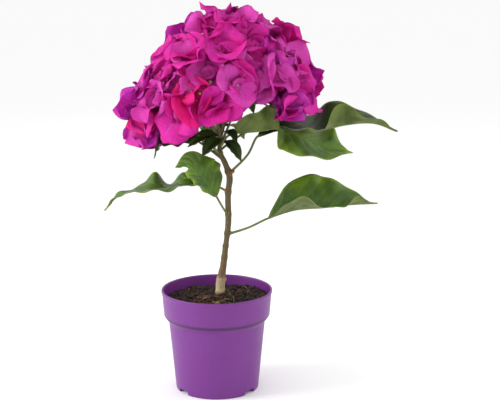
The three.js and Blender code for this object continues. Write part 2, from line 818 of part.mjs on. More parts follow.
const guard = stemGuard();
const taken = [];
for (const [name, leaf] of Object.entries(LEAVES)) {
  place(name, buildLeaf(leaf, guard), "leaf");
  taken.push(...bladeSamples(leaf), ...limbSamples(stalkRows(leaf)));
}

const plans = planMasses(crownHeads());
for (const plan of plans) {
  const bough = limb(boughRows(plan), { sides: 5, steps: 2 });
  place(`bough_${plan.name}`, fuse([bough.subtract(guard)]), "bough");
}
for (const plan of plans) place(`bloom_${plan.name}`, buildMass(plan, taken), "bract");

export default plant;
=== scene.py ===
"""A young bougainvillea in a round nursery pot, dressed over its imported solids.

The leaves, the boughs and the dome of flower heads grow by the same seeded rules as the
solids that they replace, carried on to ruffled bracts, flowers, veins and small leaves.
Sizes are in millimetres until a mesh is finished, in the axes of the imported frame.
"""

import sys
import logging
import math
from bisect import bisect_left
from collections.abc import Callable, Iterable, Mapping, Sequence
from dataclasses import dataclass, field
from enum import Enum
from typing import TypeVar

import bmesh
import bpy
from mathutils import Matrix, Vector, noise
from mathutils.kdtree import KDTree


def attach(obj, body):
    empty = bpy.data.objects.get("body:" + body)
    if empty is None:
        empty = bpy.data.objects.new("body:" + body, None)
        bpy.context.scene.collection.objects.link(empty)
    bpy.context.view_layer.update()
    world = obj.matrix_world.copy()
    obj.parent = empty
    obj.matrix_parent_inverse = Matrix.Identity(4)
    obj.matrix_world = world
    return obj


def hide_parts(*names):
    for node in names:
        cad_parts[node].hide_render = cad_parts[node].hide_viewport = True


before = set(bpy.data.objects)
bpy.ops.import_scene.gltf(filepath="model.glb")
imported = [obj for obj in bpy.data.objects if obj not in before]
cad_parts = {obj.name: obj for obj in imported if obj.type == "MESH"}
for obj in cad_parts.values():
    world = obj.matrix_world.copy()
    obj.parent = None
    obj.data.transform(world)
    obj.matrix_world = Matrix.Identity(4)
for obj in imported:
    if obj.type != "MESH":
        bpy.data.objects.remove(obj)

log = logging.getLogger("bougainvillea")

MM = 0.001
GAP = 0.3
UP = Vector((0.0, 0.0, 1.0))
FULL_TURN = 2.0 * math.pi

Colour = tuple[float, float, float]
Row = tuple[float, float, float, float]
Point = tuple[float, float, float]
Place = Callable[[float, float], Vector]
Relief = Callable[[Vector, float, float], float]
Blendable = TypeVar("Blendable", float, Vector)


# ---------------------------------------------------------------- numbers and curves


class Draws:
    """Seeded draws: the same seed always grows the same plant."""

    def __init__(self, seed: int) -> None:
        """Start the draws from a seed."""
        self.state = seed & 0xFFFFFFFF

    def between(self, low: float, high: float) -> float:
        """Draw a number from low to high."""
        self.state = (1664525 * self.state + 1013904223) & 0xFFFFFFFF
        return low + (high - low) * self.state / 4294967296.0

    def about(self, middle: float, spread: float) -> float:
        """Draw a number within spread of a middle."""
        return self.between(middle - spread, middle + spread)


def lerp(start: float, end: float, share: float) -> float:
    """Return the value at a share of the way from start to end."""
    return start + (end - start) * share


def ease(value: float, start: float, end: float) -> float:
    """Return 0 below start and 1 above end, with a smooth step between.

    Args:
        value: The number that is looked at.
        start: Where the step begins.
        end: Where the step is done.

    Returns:
        The height of the step at value.
    """
    share = min(1.0, max(0.0, (value - start) / (end - start)))
    return share * share * (3.0 - 2.0 * share)


def catmull(
    a: Blendable, b: Blendable, c: Blendable, d: Blendable, share: float
) -> Blendable:
    """Return the smooth value between b and c, for numbers or vectors."""
    square = (a * 2 - b * 5 + c * 4 - d) * share**2
    cube = (b * 3 - a - c * 3 + d) * share**3
    return (b * 2 + (c - a) * share + square + cube) * 0.5


def keyed(keys: Sequence[float], t: float) -> float:
    """Return the smooth value at t through evenly spaced keys.

    Args:
        keys: The values from t = 0 to t = 1.
        t: The place along the keys.

    Returns:
        The value at t.
    """
    if len(keys) == 1:
        return keys[0]
    last = len(keys) - 1
    k = min(int(t * last), last - 1)
    a, b, c, d = (keys[max(0, min(last, k + i))] for i in (-1, 0, 1, 2))
    return catmull(a, b, c, d, t * last - k)


def heading(bearing: float, elevation: float) -> Vector:
    """Return the unit vector at a bearing and an elevation in degrees."""
    turn, rise = math.radians(bearing), math.radians(elevation)
    flat = math.cos(rise)
    return Vector((flat * math.cos(turn), flat * math.sin(turn), math.sin(rise)))


def square_to(axis: Vector) -> tuple[Vector, Vector]:
    """Return two unit vectors square to an axis and to each other."""
    reference = Vector((1.0, 0.0, 0.0)) if abs(axis.z) >= 0.9 else UP
    across = reference.cross(axis).normalized()
    return across, axis.cross(across)


class SmoothCurve:
    """A curve through points, walked by its parameter or evenly by its length."""

    DIVISIONS = 200

    def __init__(self, points: Iterable[Sequence[float]]) -> None:
        """Measure the curve through the points."""
        self.points = [Vector(point) for point in points]
        samples = [self.at(i / self.DIVISIONS) for i in range(self.DIVISIONS + 1)]
        self.walked = [0.0]
        for a, b in zip(samples, samples[1:]):
            self.walked.append(self.walked[-1] + (b - a).length)

    @property
    def length(self) -> float:
        """Length from end to end."""
        return self.walked[-1]

    def at(self, t: float) -> Vector:
        """Return the point at a parameter from 0 to 1."""
        spans = len(self.points) - 1
        k = min(int(t * spans), spans - 1)
        b, c = self.points[k], self.points[k + 1]
        a = self.points[k - 1] if k > 0 else b * 2 - c
        d = self.points[k + 2] if k + 2 <= spans else c * 2 - b
        return catmull(a, b, c, d, t * spans - k)

    def parameter(self, share: float) -> float:
        """Return the parameter at a share of the length."""
        target = share * self.length
        k = max(1, min(self.DIVISIONS, bisect_left(self.walked, target)))
        low, high = self.walked[k - 1], self.walked[k]
        return (k - 1 + (target - low) / max(high - low, 1e-9)) / self.DIVISIONS

    def along(self, share: float) -> Vector:
        """Return the point at a share of the length."""
        return self.at(self.parameter(share))

    def tangent(self, share: float) -> Vector:
        """Return the unit direction at a share of the length."""
        return self.tangent_at(self.parameter(share))

    def tangent_at(self, t: float) -> Vector:
        """Return the unit direction at a parameter."""
        step = 1e-4
        return (self.at(min(1.0, t + step)) - self.at(max(0.0, t - step))).normalized()


# ---------------------------------------------------------------- meshes


def mesh_of(bm: bmesh.types.BMesh, name: str) -> bpy.types.Mesh:
    """Turn an edit mesh into a named mesh and free it."""
    mesh = bpy.data.meshes.new(name)
    bm.to_mesh(mesh)
    bm.free()
    return mesh


def add_object(name: str, data: bpy.types.ID) -> bpy.types.Object:
    """Put a new object with its data in the scene."""
    made = bpy.data.objects.new(name, data)
    bpy.context.scene.collection.objects.link(made)
    return made


class Piece:
    """A mesh joined from bent operator shapes, in millimetres until it is finished."""

    CHUNK = 5000

    def __init__(self, name: str) -> None:
        """Start an empty piece with a name."""
        self.name = name
        self.done: list[bpy.types.Mesh] = []
        self._start()

    def _start(self) -> None:
        """Start an empty edit mesh with a UV map."""
        self.bm = bmesh.new()
        self.uv = self.bm.loops.layers.uv.new("UVMap")

    def _bank(self, most: int = 0) -> None:
        """Put what has been made aside, so that each operator works on few faces."""
        if most and len(self.bm.verts) < most:
            return
        self.done.append(mesh_of(self.bm, self.name))
        self._start()

    def grid(self, along: int, across: int, place: Place, tone: int = 0) -> list:
        """Add a grid bent to a surface, with its own places as its UV map.

        Args:
            along: Faces along t, which runs from 0 to 1.
            across: Faces across s, which runs from -1 to 1.
            place: Gives the point at t and s.
            tone: The number of the material.

        Returns:
            The grid's vertices.
        """
        made = bmesh.ops.create_grid(self.bm, x_segments=along, y_segments=across, size=1.0)
        places = {vert: ((vert.co.x + 1.0) / 2.0, vert.co.y) for vert in made["verts"]}
        for face in {face for vert in places for face in vert.link_faces}:
            face.material_index = tone
            face.smooth = True
            for loop in face.loops:
                t, s = places[loop.vert]
                loop[self.uv].uv = (t, (s + 1.0) / 2.0)
        for vert, (t, s) in places.items():
            vert.co = place(t, s)
        return made["verts"]

    def seal(self, verts: Iterable) -> None:
        """Join the doubled corners of a shape and turn its faces outwards."""
        bmesh.ops.remove_doubles(self.bm, verts=list(verts), dist=1e-4)
        kept = {vert for vert in verts if vert.is_valid}
        faces = {face for vert in kept for face in vert.link_faces}
        bmesh.ops.recalc_face_normals(self.bm, faces=list(faces))
        self._bank(self.CHUNK)

    def tube(self, along: int, around: int, place: Place, tone: int = 0) -> None:
        """Add a closed tube; place takes t and the turn, from 0 to a full turn."""
        self._bank(self.CHUNK)
        verts = self.grid(along, around, lambda t, s: place(t, (s + 1.0) * math.pi), tone)
        bmesh.ops.remove_doubles(self.bm, verts=verts, dist=1e-4)
        kept = [vert for vert in verts if vert.is_valid]
        rims = {edge for vert in kept for edge in vert.link_edges if edge.is_boundary}
        made = bmesh.ops.holes_fill(self.bm, edges=list(rims), sides=0)["faces"]
        for face in made:
            face.material_index = tone
        faces = {face for vert in kept for face in vert.link_faces}
        bmesh.ops.recalc_face_normals(self.bm, faces=list(faces))

    def lump(self, matrix: Matrix, level: int = 1) -> list:
        """Add a small ball under a matrix and return its vertices."""
        self._bank(self.CHUNK)
        made = bmesh.ops.create_icosphere(
            self.bm, subdivisions=level, radius=1.0, matrix=matrix, calc_uvs=False
        )["verts"]
        for face in {face for vert in made for face in vert.link_faces}:
            face.smooth = level > 1
        return made

    def finish(
        self,
        materials: Sequence[bpy.types.Material],
        slot: str,
        nodes: Sequence[str] = (),
    ) -> bpy.types.Object:
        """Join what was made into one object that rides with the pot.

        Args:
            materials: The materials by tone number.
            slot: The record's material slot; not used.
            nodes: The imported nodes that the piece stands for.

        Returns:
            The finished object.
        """
        self._bank()
        whole = bmesh.new()
        for mesh in self.done:
            whole.from_mesh(mesh)
            bpy.data.meshes.remove(mesh)
        bmesh.ops.scale(whole, vec=(MM, MM, MM), verts=whole.verts)
        return dress(mesh_of(whole, self.name), self.name, materials, nodes)


def dress(
    mesh: bpy.types.Mesh,
    name: str,
    materials: Sequence[bpy.types.Material],
    nodes: Sequence[str] = (),
) -> bpy.types.Object:
    """Make a mesh an object of the plant and report it.

    Args:
        mesh: The mesh, in metres.
        name: The piece's name.
        materials: The materials by tone number.
        nodes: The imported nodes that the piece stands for.

    Returns:
        The object.
    """
    for material in materials:
        mesh.materials.append(material)
    piece = add_object(name, mesh)
    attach(piece, "root")
    if nodes:
        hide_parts(*nodes)
    triangles = sum(len(polygon.vertices) - 2 for polygon in mesh.polygons)
    log.info("%s: %d triangles", name, triangles)
    return piece


class Limb:
    """A round tapering limb along a curve through rows of x, y, z and radius."""

    def __init__(self, rows: Sequence[Row], steps: int, relief: Relief | None = None) -> None:
        """Set the limb's frames, none of which twists against the one before.

        Args:
            rows: The centre line's points with their radii.
            steps: Rings of faces along the limb.
            relief: Gives what stands out at a centre, a turn and a share of the length.
        """
        self.steps = steps
        self.relief = relief
        curve = SmoothCurve([row[:3] for row in rows])
        spans = len(rows) - 1
        across = square_to(curve.tangent_at(0.0))[0]
        self.frames: list[tuple[Vector, Vector, Vector, float]] = []
        for i in range(steps + 1):
            share = i / steps
            tangent = curve.tangent_at(share)
            across = (across - tangent * across.dot(tangent)).normalized()
            k = min(int(share * spans), spans - 1)
            radius = lerp(rows[k][3], rows[k + 1][3], share * spans - k)
            self.frames.append((curve.at(share), across, across.cross(tangent), radius))

    def place(self, t: float, turn: float) -> Vector:
        """Return the point of the limb's skin at a share of its length and a turn."""
        centre, across, depth, radius = self.frames[round(t * self.steps)]
        if self.relief:
            radius += self.relief(centre, turn, t)
        return centre + (across * math.cos(turn) + depth * math.sin(turn)) * radius

    def grow(self, piece: Piece, around: int, tone: int = 0) -> None:
        """Add the limb to a piece."""
        piece.tube(self.steps, around, self.place, tone)


@dataclass(frozen=True)
class Outline:
    """How a blade's width runs from base to tip."""

    widest: float = 0.38
    taper: float = 1.15
    shoulder: float = 0.9

    def share(self, t: float) -> float:
        """Return the half width at t as a share of the greatest."""
        quarter = math.pi / 2.0
        if t < self.widest:
            return math.sin(quarter * t / self.widest) ** self.shoulder
        fall = math.cos(quarter * (t - self.widest) / (1.0 - self.widest))
        return max(0.0, fall) ** self.taper


@dataclass
class Blade:
    """A leaf or bract: two halves that tilt from the midrib, thin towards the margin."""

    rib: Sequence[Sequence[float]]
    up: Sequence[float]
    half_width: float
    outline: Outline
    left: Sequence[float]
    right: Sequence[float]
    left_reach: Sequence[float] = (1.0,)
    right_reach: Sequence[float] = (1.0,)
    curl: float = 0.0
    thickness: float = 0.4
    ripple: float = 0.0
    ripples: float = 5.0
    phase: float = 0.0
    quilt: float = 0.0
    veins: int = 9
    press: Callable[[Vector], Vector] | None = None
    full_fold: float = 6.0
    curve: SmoothCurve = field(init=False)

    def __post_init__(self) -> None:
        """Measure the midrib."""
        self.curve = SmoothCurve(self.rib)

    def surface(self, t: float, s: float) -> tuple[Vector, Vector]:
        """Find the middle of the blade.

        Args:
            t: From the base (0) to the tip (1).
            s: From the left margin (-1) over the midrib (0) to the right margin (1).

        Returns:
            The point and the normal there.
        """
        tangent = self.curve.tangent(t)
        up = Vector(self.up)
        up = (up - tangent * up.dot(tangent)).normalized()
        across = tangent.cross(up)
        half = self.half_width * self.outline.share(t)
        reach = half * keyed(self.left_reach if s < 0 else self.right_reach, t)
        folded = min(1.0, half / self.full_fold)
        tilts = [math.radians((keyed(k, t) + self.curl * abs(s)) * folded)
                 for k in (self.left, self.right)]
        angle = 0.0 if s == 0 else tilts[s > 0]
        out = across * (s * math.cos(angle)) + up * (abs(s) * math.sin(angle))
        crease = (math.sin(tilts[1]) - math.sin(tilts[0])) / 2.0
        lean = crease if s == 0 else math.copysign(math.sin(angle), s * angle)
        normal = (up * math.cos(angle) - across * lean).normalized()
        return self.curve.along(t) + out * reach, normal

    def samples(self) -> list[Vector]:
        """Return points spread over the blade."""
        places = [(i / 6, s) for i in range(1, 7) for s in (-0.9, -0.45, 0.0, 0.45, 0.9)]
        return [self.surface(t, s)[0] for t, s in places]

    def relief(self, t: float, s: float) -> float:
        """Return how far the skin stands out of the plain blade at t and s."""
        aside = abs(s)
        turn = FULL_TURN * self.ripples * t + self.phase + (1.6 if s > 0 else 0.0)
        wave = self.ripple * aside**2 * math.sin(turn) * min(1.0, 4.0 * t, 6.0 * (1.0 - t))
        cushion = abs(math.sin(math.pi * self.veins * (t - 0.22 * aside)))
        cushion *= min(1.0, 4.0 * aside) * (1.0 - aside**4) * ease(t, 0.02, 0.12)
        return wave + self.quilt * cushion

    def grow(self, piece: Piece, along: int, across: int, face: int, back: int) -> None:
        """Add both faces of the blade to a piece.

        Args:
            piece: The piece that the blade joins.
            along: Faces from base to tip.
            across: Faces from margin to margin.
            face: The material of the upper face.
            back: The material of the lower face.
        """

        def skin(side: float) -> Place:
            """Return the upper (1) or lower (-1) face's places."""

            def place(t: float, s: float) -> Vector:
                """Return the face's point at t and s."""
                point, normal = self.surface(t, s)
                body = 0.0 if abs(s) > 0.999 or t > 0.999 else self.thickness / 2.0
                point += normal * (self.relief(t, s) + side * body * (1.0 - s * s))
                return self.press(point) if self.press else point

            return place

        verts = piece.grid(along, across, skin(1.0), face)
        verts += piece.grid(along, across, skin(-1.0), back)
        piece.seal(verts)


# ---------------------------------------------------------------- shader maths


class Value:
    """A shader socket in an expression, to which each operator adds its Math node."""

    def __init__(self, graph: "Graph", socket: bpy.types.NodeSocket) -> None:
        """Wrap a socket of a graph."""
        self.graph = graph
        self.socket = socket

    def __add__(self, other: "Value | float") -> "Value":
        """Add."""
        return self.graph.maths("ADD", self, other)

    def __sub__(self, other: "Value | float") -> "Value":
        """Subtract."""
        return self.graph.maths("SUBTRACT", self, other)

    def __rsub__(self, other: float) -> "Value":
        """Subtract from a number."""
        return self.graph.maths("SUBTRACT", other, self)

    def __mul__(self, other: "Value | float") -> "Value":
        """Multiply."""
        return self.graph.maths("MULTIPLY", self, other)

    def __truediv__(self, other: "Value | float") -> "Value":
        """Divide."""
        return self.graph.maths("DIVIDE", self, other)

    __radd__ = __add__

    def size(self) -> "Value":
        """Return the value without its sign."""
        return self.graph.maths("ABSOLUTE", self, 0.0)

    def sine(self) -> "Value":
        """Return the sine."""
        return self.graph.maths("SINE", self, 0.0)

    def most(self, other: "Value | float") -> "Value":
        """Return the larger of two."""
        return self.graph.maths("MAXIMUM", self, other)

    def step(self, start: float, end: float) -> "Value":
        """Return a smooth step from 0 at start to 1 at end."""
        node = self.graph.node(
            "ShaderNodeMapRange",
            {"interpolation_type": "SMOOTHSTEP"},
            {"Value": self, "From Min": start, "From Max": end},
        )
        return Value(self.graph, node.outputs["Result"])


Feed = Value | float | Sequence[float]


class Graph:
    """The node tree of one finish."""

    def __init__(self, name: str) -> None:
        """Start a material with an empty tree."""
        self.material = bpy.data.materials.new(name)
        self.material.use_nodes = True
        self.tree = self.material.node_tree
        self.tree.nodes.clear()

    def node(
        self, kind: str, settings: Mapping[str, object], sockets: Mapping[str | int, Feed]
    ) -> bpy.types.Node:
        """Add a node.

        Args:
            kind: The node's type.
            settings: Its own settings, with a ramp's under stops.
            sockets: What its inputs take, by name or number.

        Returns:
            The node.
        """
        made = self.tree.nodes.new(kind)
        for key, value in settings.items():
            if key != "stops":
                setattr(made, key, value)
                continue
            for i, (place, colour) in enumerate(value):
                entry = made.color_ramp.elements
                stop = entry[i] if i < 2 else entry.new(place)
                stop.position = place
                stop.color = (*colour, 1.0)
        for key, value in sockets.items():
            entry = made.inputs[key]
            if isinstance(value, Value):
                self.tree.links.new(value.socket, entry)
            elif isinstance(value, (int, float)):
                entry.default_value = value
            else:
                wide = entry.type == "RGBA" and len(value) == 3
                entry.default_value = (*value, 1.0) if wide else value
        return made

    def maths(self, operation: str, first: Feed, second: Feed) -> Value:
        """Add a Math node."""
        made = self.node("ShaderNodeMath", {"operation": operation}, {0: first, 1: second})
        return Value(self, made.outputs[0])

    def places(self, kind: str) -> Value:
        """Return the Object or UV coordinates."""
        return Value(self, self.node("ShaderNodeTexCoord", {}, {}).outputs[kind])

    def split(self, vector: Value) -> tuple[Value, Value, Value]:
        """Return a vector's three numbers."""
        made = self.node("ShaderNodeSeparateXYZ", {}, {"Vector": vector})
        x, y, z = (Value(self, socket) for socket in made.outputs)
        return x, y, z

    def stretch(self, vector: Value, scale: Sequence[float]) -> Value:
        """Return a vector with each axis scaled."""
        made = self.node("ShaderNodeMapping", {}, {"Vector": vector, "Scale": scale})
        return Value(self, made.outputs["Vector"])

    def noise(self, vector: Value, scale: float, detail: float = 3.0) -> Value:
        """Return soft noise from 0 to 1."""
        made = self.node(
            "ShaderNodeTexNoise", {}, {"Vector": vector, "Scale": scale, "Detail": detail}
        )
        return Value(self, made.outputs["Fac"])

    def cells(self, vector: Value, scale: float, feature: str = "F1") -> Value:
        """Return the distance to a cell's middle, or to its edge."""
        made = self.node(
            "ShaderNodeTexVoronoi", {"feature": feature}, {"Vector": vector, "Scale": scale}
        )
        return Value(self, made.outputs["Distance"])

    def blend(self, factor: Feed, first: Feed, second: Feed) -> Value:
        """Return one colour mixed with another."""
        sockets = {0: factor, 6: first, 7: second}
        made = self.node("ShaderNodeMix", {"data_type": "RGBA"}, sockets)
        return Value(self, made.outputs[2])

    def ramp(self, value: Value, stops: Sequence[tuple[float, Colour]]) -> Value:
        """Return the colour of a ramp at a value."""
        made = self.node("ShaderNodeValToRGB", {"stops": stops}, {"Fac": value})
        return Value(self, made.outputs["Color"])

    def bump(self, height: Value, depth: float, strength: float = 1.0) -> Value:
        """Return the normal over a relief of a depth in metres."""
        made = self.node(
            "ShaderNodeBump", {}, {"Height": height, "Distance": depth, "Strength": strength}
        )
        return Value(self, made.outputs["Normal"])

    def surface(self, sockets: Mapping[str, Feed], through: float = 0.0) -> bpy.types.Material:
        """Finish the material with its shader.

        Args:
            sockets: What the main shader takes.
            through: The share of light that passes through a thin sheet.

        Returns:
            The material.
        """
        shader = self.node("ShaderNodeBsdfPrincipled", {}, sockets).outputs[0]
        if through:
            glow = self.node("ShaderNodeBsdfTranslucent", {}, {"Color": sockets["Base Color"]})
            inputs = {0: through, 1: Value(self, shader), 2: Value(self, glow.outputs[0])}
            shader = self.node("ShaderNodeMixShader", {}, inputs).outputs[0]
        self.node("ShaderNodeOutputMaterial", {}, {"Surface": Value(self, shader)})
        return self.material


# ---------------------------------------------------------------- finishes


def paint(red: int, green: int, blue: int) -> Colour:
    """Return a screen colour of 0 to 255 as light."""
    shares = (red / 255.0, green / 255.0, blue / 255.0)
    low, high = 12.92, 1.055
    lit = [s / low if s <= 0.04045 else ((s + 0.055) / high) ** 2.4 for s in shares]
    return lit[0], lit[1], lit[2]


@dataclass(frozen=True)
class PotPlastic:
    """Satin moulded plastic with a faint drag, fine scuffs and a line of painted shade under the
    collar.
    """

    colour: Colour = paint(112, 40, 130)
    worn: Colour = paint(144, 80, 156)
    deep: Colour = paint(100, 34, 118)
    painted_shade: Colour = paint(44, 14, 56)
    painted_shade_z: float = 0.0812

    def material(self) -> bpy.types.Material:
        """Build the material, with painted shade in the crease under the collar."""
        graph = Graph("pot_plastic")
        place = graph.places("Object")
        # painted shade: a dark band just under the collar's edge, where the collar's shadow falls
        crease = 1.0 - (graph.split(place)[2] - self.painted_shade_z).size().step(0.0004, 0.0034)
        cloud = graph.noise(place, 38.0, 4.0)
        drag = graph.noise(graph.stretch(place, (1.0, 1.0, 14.0)), 70.0, 3.0)
        grain = graph.noise(place, 1500.0, 2.0)
        scratch = graph.cells(graph.stretch(place, (1.0, 1.0, 7.0)), 150.0, "DISTANCE_TO_EDGE")
        scuff = (1.0 - scratch.step(0.0, 0.02)) * cloud.step(0.56, 0.7)
        tint = graph.blend(cloud.step(0.3, 0.7) * 0.2, self.colour, self.deep)
        tint = graph.blend(scuff * 0.3 + drag.step(0.55, 0.8) * 0.12, tint, self.worn)
        tint = graph.blend(crease * 0.75, tint, self.painted_shade)
        relief = grain * 0.5 + drag + scuff * 0.6
        return graph.surface({
            "Base Color": tint,
            "Roughness": 0.36 + cloud * 0.16 + scuff * 0.15,
            "Normal": graph.bump(relief, 0.00006, 0.6),
            "Specular IOR Level": 0.45,
        })


@dataclass(frozen=True)
class Peat:
    """Moist dark peat, in crumbs of several browns."""

    dark: Colour = paint(24, 15, 10)
    brown: Colour = paint(78, 42, 26)
    light: Colour = paint(146, 92, 52)

    def material(self) -> bpy.types.Material:
        """Build the material."""
        graph = Graph("peat")
        place = graph.places("Object")
        clump = graph.noise(place, 130.0, 5.0)
        crumb = graph.cells(place, 520.0)
        speck = graph.noise(place, 1400.0, 3.0)
        stops = ((0.0, self.dark), (1.0, self.light), (0.5, self.dark), (0.58, self.brown))
        tint = graph.ramp(clump * 0.55 + speck * 0.45, stops)
        return graph.surface({
            "Base Color": tint,
            "Roughness": 0.82 + speck * 0.16,
            "Normal": graph.bump(clump + crumb + speck * 0.6, 0.0011),
        })


@dataclass(frozen=True)
class Fibre:
    """Dry fine roots and straw."""

    dark: Colour = paint(96, 70, 38)
    light: Colour = paint(182, 160, 96)

    def material(self) -> bpy.types.Material:
        """Build the material."""
        graph = Graph("root_fibre")
        place = graph.places("Object")
        patch = graph.noise(place, 160.0, 3.0)
        tint = graph.blend(patch.step(0.35, 0.65), self.dark, self.light)
        return graph.surface({
            "Base Color": tint,
            "Roughness": 0.7 + patch * 0.2,
            "Normal": graph.bump(graph.noise(place, 1800.0), 0.0003),
        })


@dataclass(frozen=True)
class StemBark:
    """Bark that runs from a red-brown foot over a pale swelling to olive and green."""

    foot: Colour = paint(78, 44, 26)
    pale: Colour = paint(192, 172, 134)
    tan: Colour = paint(112, 88, 54)
    olive: Colour = paint(92, 80, 46)
    green: Colour = paint(76, 78, 40)
    crack: Colour = paint(52, 38, 24)
    bottom: float = 0.1
    top: float = 0.3

    def material(self) -> bpy.types.Material:
        """Build the material."""
        graph = Graph("stem_bark")
        place = graph.places("Object")
        height = graph.split(place)[2]
        patch = graph.noise(place, 190.0, 4.0)
        level = (height - self.bottom) / (self.top - self.bottom) + (patch - 0.5) * 0.05
        stops = (
            (0.0, self.foot), (1.0, self.green), (0.025, self.foot), (0.045, self.pale),
            (0.095, self.pale), (0.13, self.tan), (0.3, self.olive), (0.72, self.olive),
        )
        streak = graph.noise(graph.stretch(place, (1.0, 1.0, 0.12)), 900.0, 4.0)
        fleck = 1.0 - graph.cells(graph.stretch(place, (1.0, 1.0, 0.55)), 420.0).step(0.1, 0.3)
        tint = graph.blend(streak.step(0.5, 0.72) * 0.62, graph.ramp(level, stops), self.crack)
        tint = graph.blend(fleck * patch.step(0.45, 0.6) * 0.35, tint, self.pale)
        return graph.surface({
            "Base Color": tint,
            "Roughness": 0.62 + streak * 0.3,
            "Normal": graph.bump(patch - streak * 0.7 + fleck * 0.5, 0.00035),
        })


@dataclass(frozen=True)
class YoungBark:
    """Smooth green wood of boughs, twigs and leaf stalks, with finer streaks."""

    name: str
    green: Colour
    brown: Colour

    def material(self) -> bpy.types.Material:
        """Build the material."""
        graph = Graph(self.name)
        place = graph.places("Object")
        patch = graph.noise(place, 90.0, 3.0)
        hair = graph.noise(place, 1300.0, 3.0)
        tint = graph.blend(patch.step(0.38, 0.66), self.green, self.brown)
        tint = graph.blend(hair.step(0.5, 0.75) * 0.3, tint, self.brown)
        return graph.surface({
            "Base Color": tint,
            "Roughness": 0.42 + hair * 0.3,
            "Normal": graph.bump(hair + patch, 0.0002),
        })


@dataclass(frozen=True)
class LeafSkin:
    """One face of a leaf: paler veins, a bright margin and a waxy gloss."""

    name: str
    colour: Colour
    deep: Colour
    vein: Colour
    margin: Colour
    gloss: float
    veins: int = 9
    sunk: float = 1.0

    def material(self) -> bpy.types.Material:
        """Build the material."""
        graph = Graph(self.name)
        along, side, _ = graph.split(graph.places("UV"))
        place = graph.places("Object")
        aside = (side - 0.5).size() * 2.0
        cloud = graph.noise(place, 60.0, 4.0)
        grain = graph.noise(place, 900.0, 3.0)
        turn = (along - aside * 0.22 + (cloud - 0.5) * 0.02) * (math.pi * self.veins)
        rib = 1.0 - aside.step(0.0, 0.05)
        branch = (1.0 - turn.sine().size().step(0.0, 0.26)) * (1.0 - aside.step(0.75, 1.0))
        net = graph.cells(place, 330.0, "DISTANCE_TO_EDGE")
        mesh = 1.0 - net.step(0.0, 0.09)
        tint = graph.blend(cloud.step(0.35, 0.68) * 0.75, self.colour, self.deep)
        tint = graph.blend(branch * 0.12 + mesh * 0.06, tint, self.vein)
        tint = graph.blend(rib * 0.6, tint, self.vein)
        flush = graph.noise(place, 24.0, 2.0).step(0.52, 0.66)
        edge = aside.step(0.86, 1.0).most(along.step(0.86, 1.0) * 0.8)
        edge = edge.most(aside.step(0.4, 1.0) * flush * 0.8)
        tint = graph.blend(edge * 0.85, tint, self.margin)
        relief = cloud * 0.9 + grain * 0.2 - (branch * 0.6 + rib * 1.6 + mesh * 0.3) * self.sunk
        return graph.surface({
            "Base Color": tint,
            "Roughness": self.gloss + cloud * 0.16 + grain * 0.08,
            "Normal": graph.bump(relief, 0.0005),
            "Specular IOR Level": 0.45,
        }, through=0.1)


@dataclass(frozen=True)
class BractPaper:
    """A papery bract: a pale midrib, fine branching veins, a crinkled skin and painted shade
    towards its root.
    """

    name: str
    colour: Colour
    deep: Colour
    vein: Colour
    through: float = 0.36
    veins: float = 8.0

    def material(self) -> bpy.types.Material:
        """Build the material."""
        graph = Graph(self.name)
        along, side, _ = graph.split(graph.places("UV"))
        place = graph.places("Object")
        aside = (side - 0.5).size() * 2.0
        cloud = graph.noise(place, 55.0, 3.0)
        crinkle = graph.noise(place, 260.0, 4.0)
        turn = (along - aside * 0.34 + (crinkle - 0.5) * 0.07) * (math.pi * self.veins)
        branch = (1.0 - turn.sine().size().step(0.0, 0.22)) * (1.0 - aside.step(0.7, 1.0))
        net = graph.cells(place, 240.0, "DISTANCE_TO_EDGE")
        mesh = 1.0 - net.step(0.0, 0.07)
        rib = 1.0 - aside.step(0.0, 0.06)
        tint = graph.blend(cloud.step(0.32, 0.7), self.colour, self.deep)
        tint = graph.blend(branch * 0.3 + mesh * 0.16, tint, self.vein)
        tint = graph.blend(rib * (1.0 - along.step(0.5, 1.0)) * 0.55, tint, self.vein)
        # painted shade: the bract darkens towards its root, deep in the head where shade falls
        tint = graph.blend((1.0 - along.step(0.0, 0.3)) * 0.5, tint, self.deep)
        relief = crinkle * 1.2 - branch * 0.7 - mesh * 0.4 - rib
        return graph.surface({
            "Base Color": tint,
            "Roughness": 0.52 + crinkle * 0.2,
            "Normal": graph.bump(relief, 0.0004),
            "Specular IOR Level": 0.3,
        }, through=self.through)


@dataclass(frozen=True)
class SoftTint:
    """A small soft part: a flower, a bud or a scale, in two mottled colours."""

    name: str
    colour: Colour
    second: Colour
    roughness: float = 0.6

    def material(self) -> bpy.types.Material:
        """Build the material."""
        graph = Graph(self.name)
        place = graph.places("Object")
        spot = graph.noise(place, 480.0, 3.0)
        return graph.surface({
            "Base Color": graph.blend(spot.step(0.4, 0.62), self.colour, self.second),
            "Roughness": self.roughness + spot * 0.15,
            "Normal": graph.bump(spot, 0.0002),
        })


class Tone(Enum):
    """The colours of a spray of bracts: plain colour, deep colour and veins."""

    ORCHID = (paint(234, 82, 200), paint(224, 46, 182), paint(240, 140, 216))
    MAGENTA = (paint(234, 42, 184), paint(226, 16, 160), paint(240, 104, 202))
    CRIMSON = (paint(240, 18, 150), paint(228, 4, 124), paint(244, 72, 172))
    PURPLE = (paint(216, 56, 200), paint(202, 24, 172), paint(230, 114, 212))


# ---------------------------------------------------------------- pot and soil


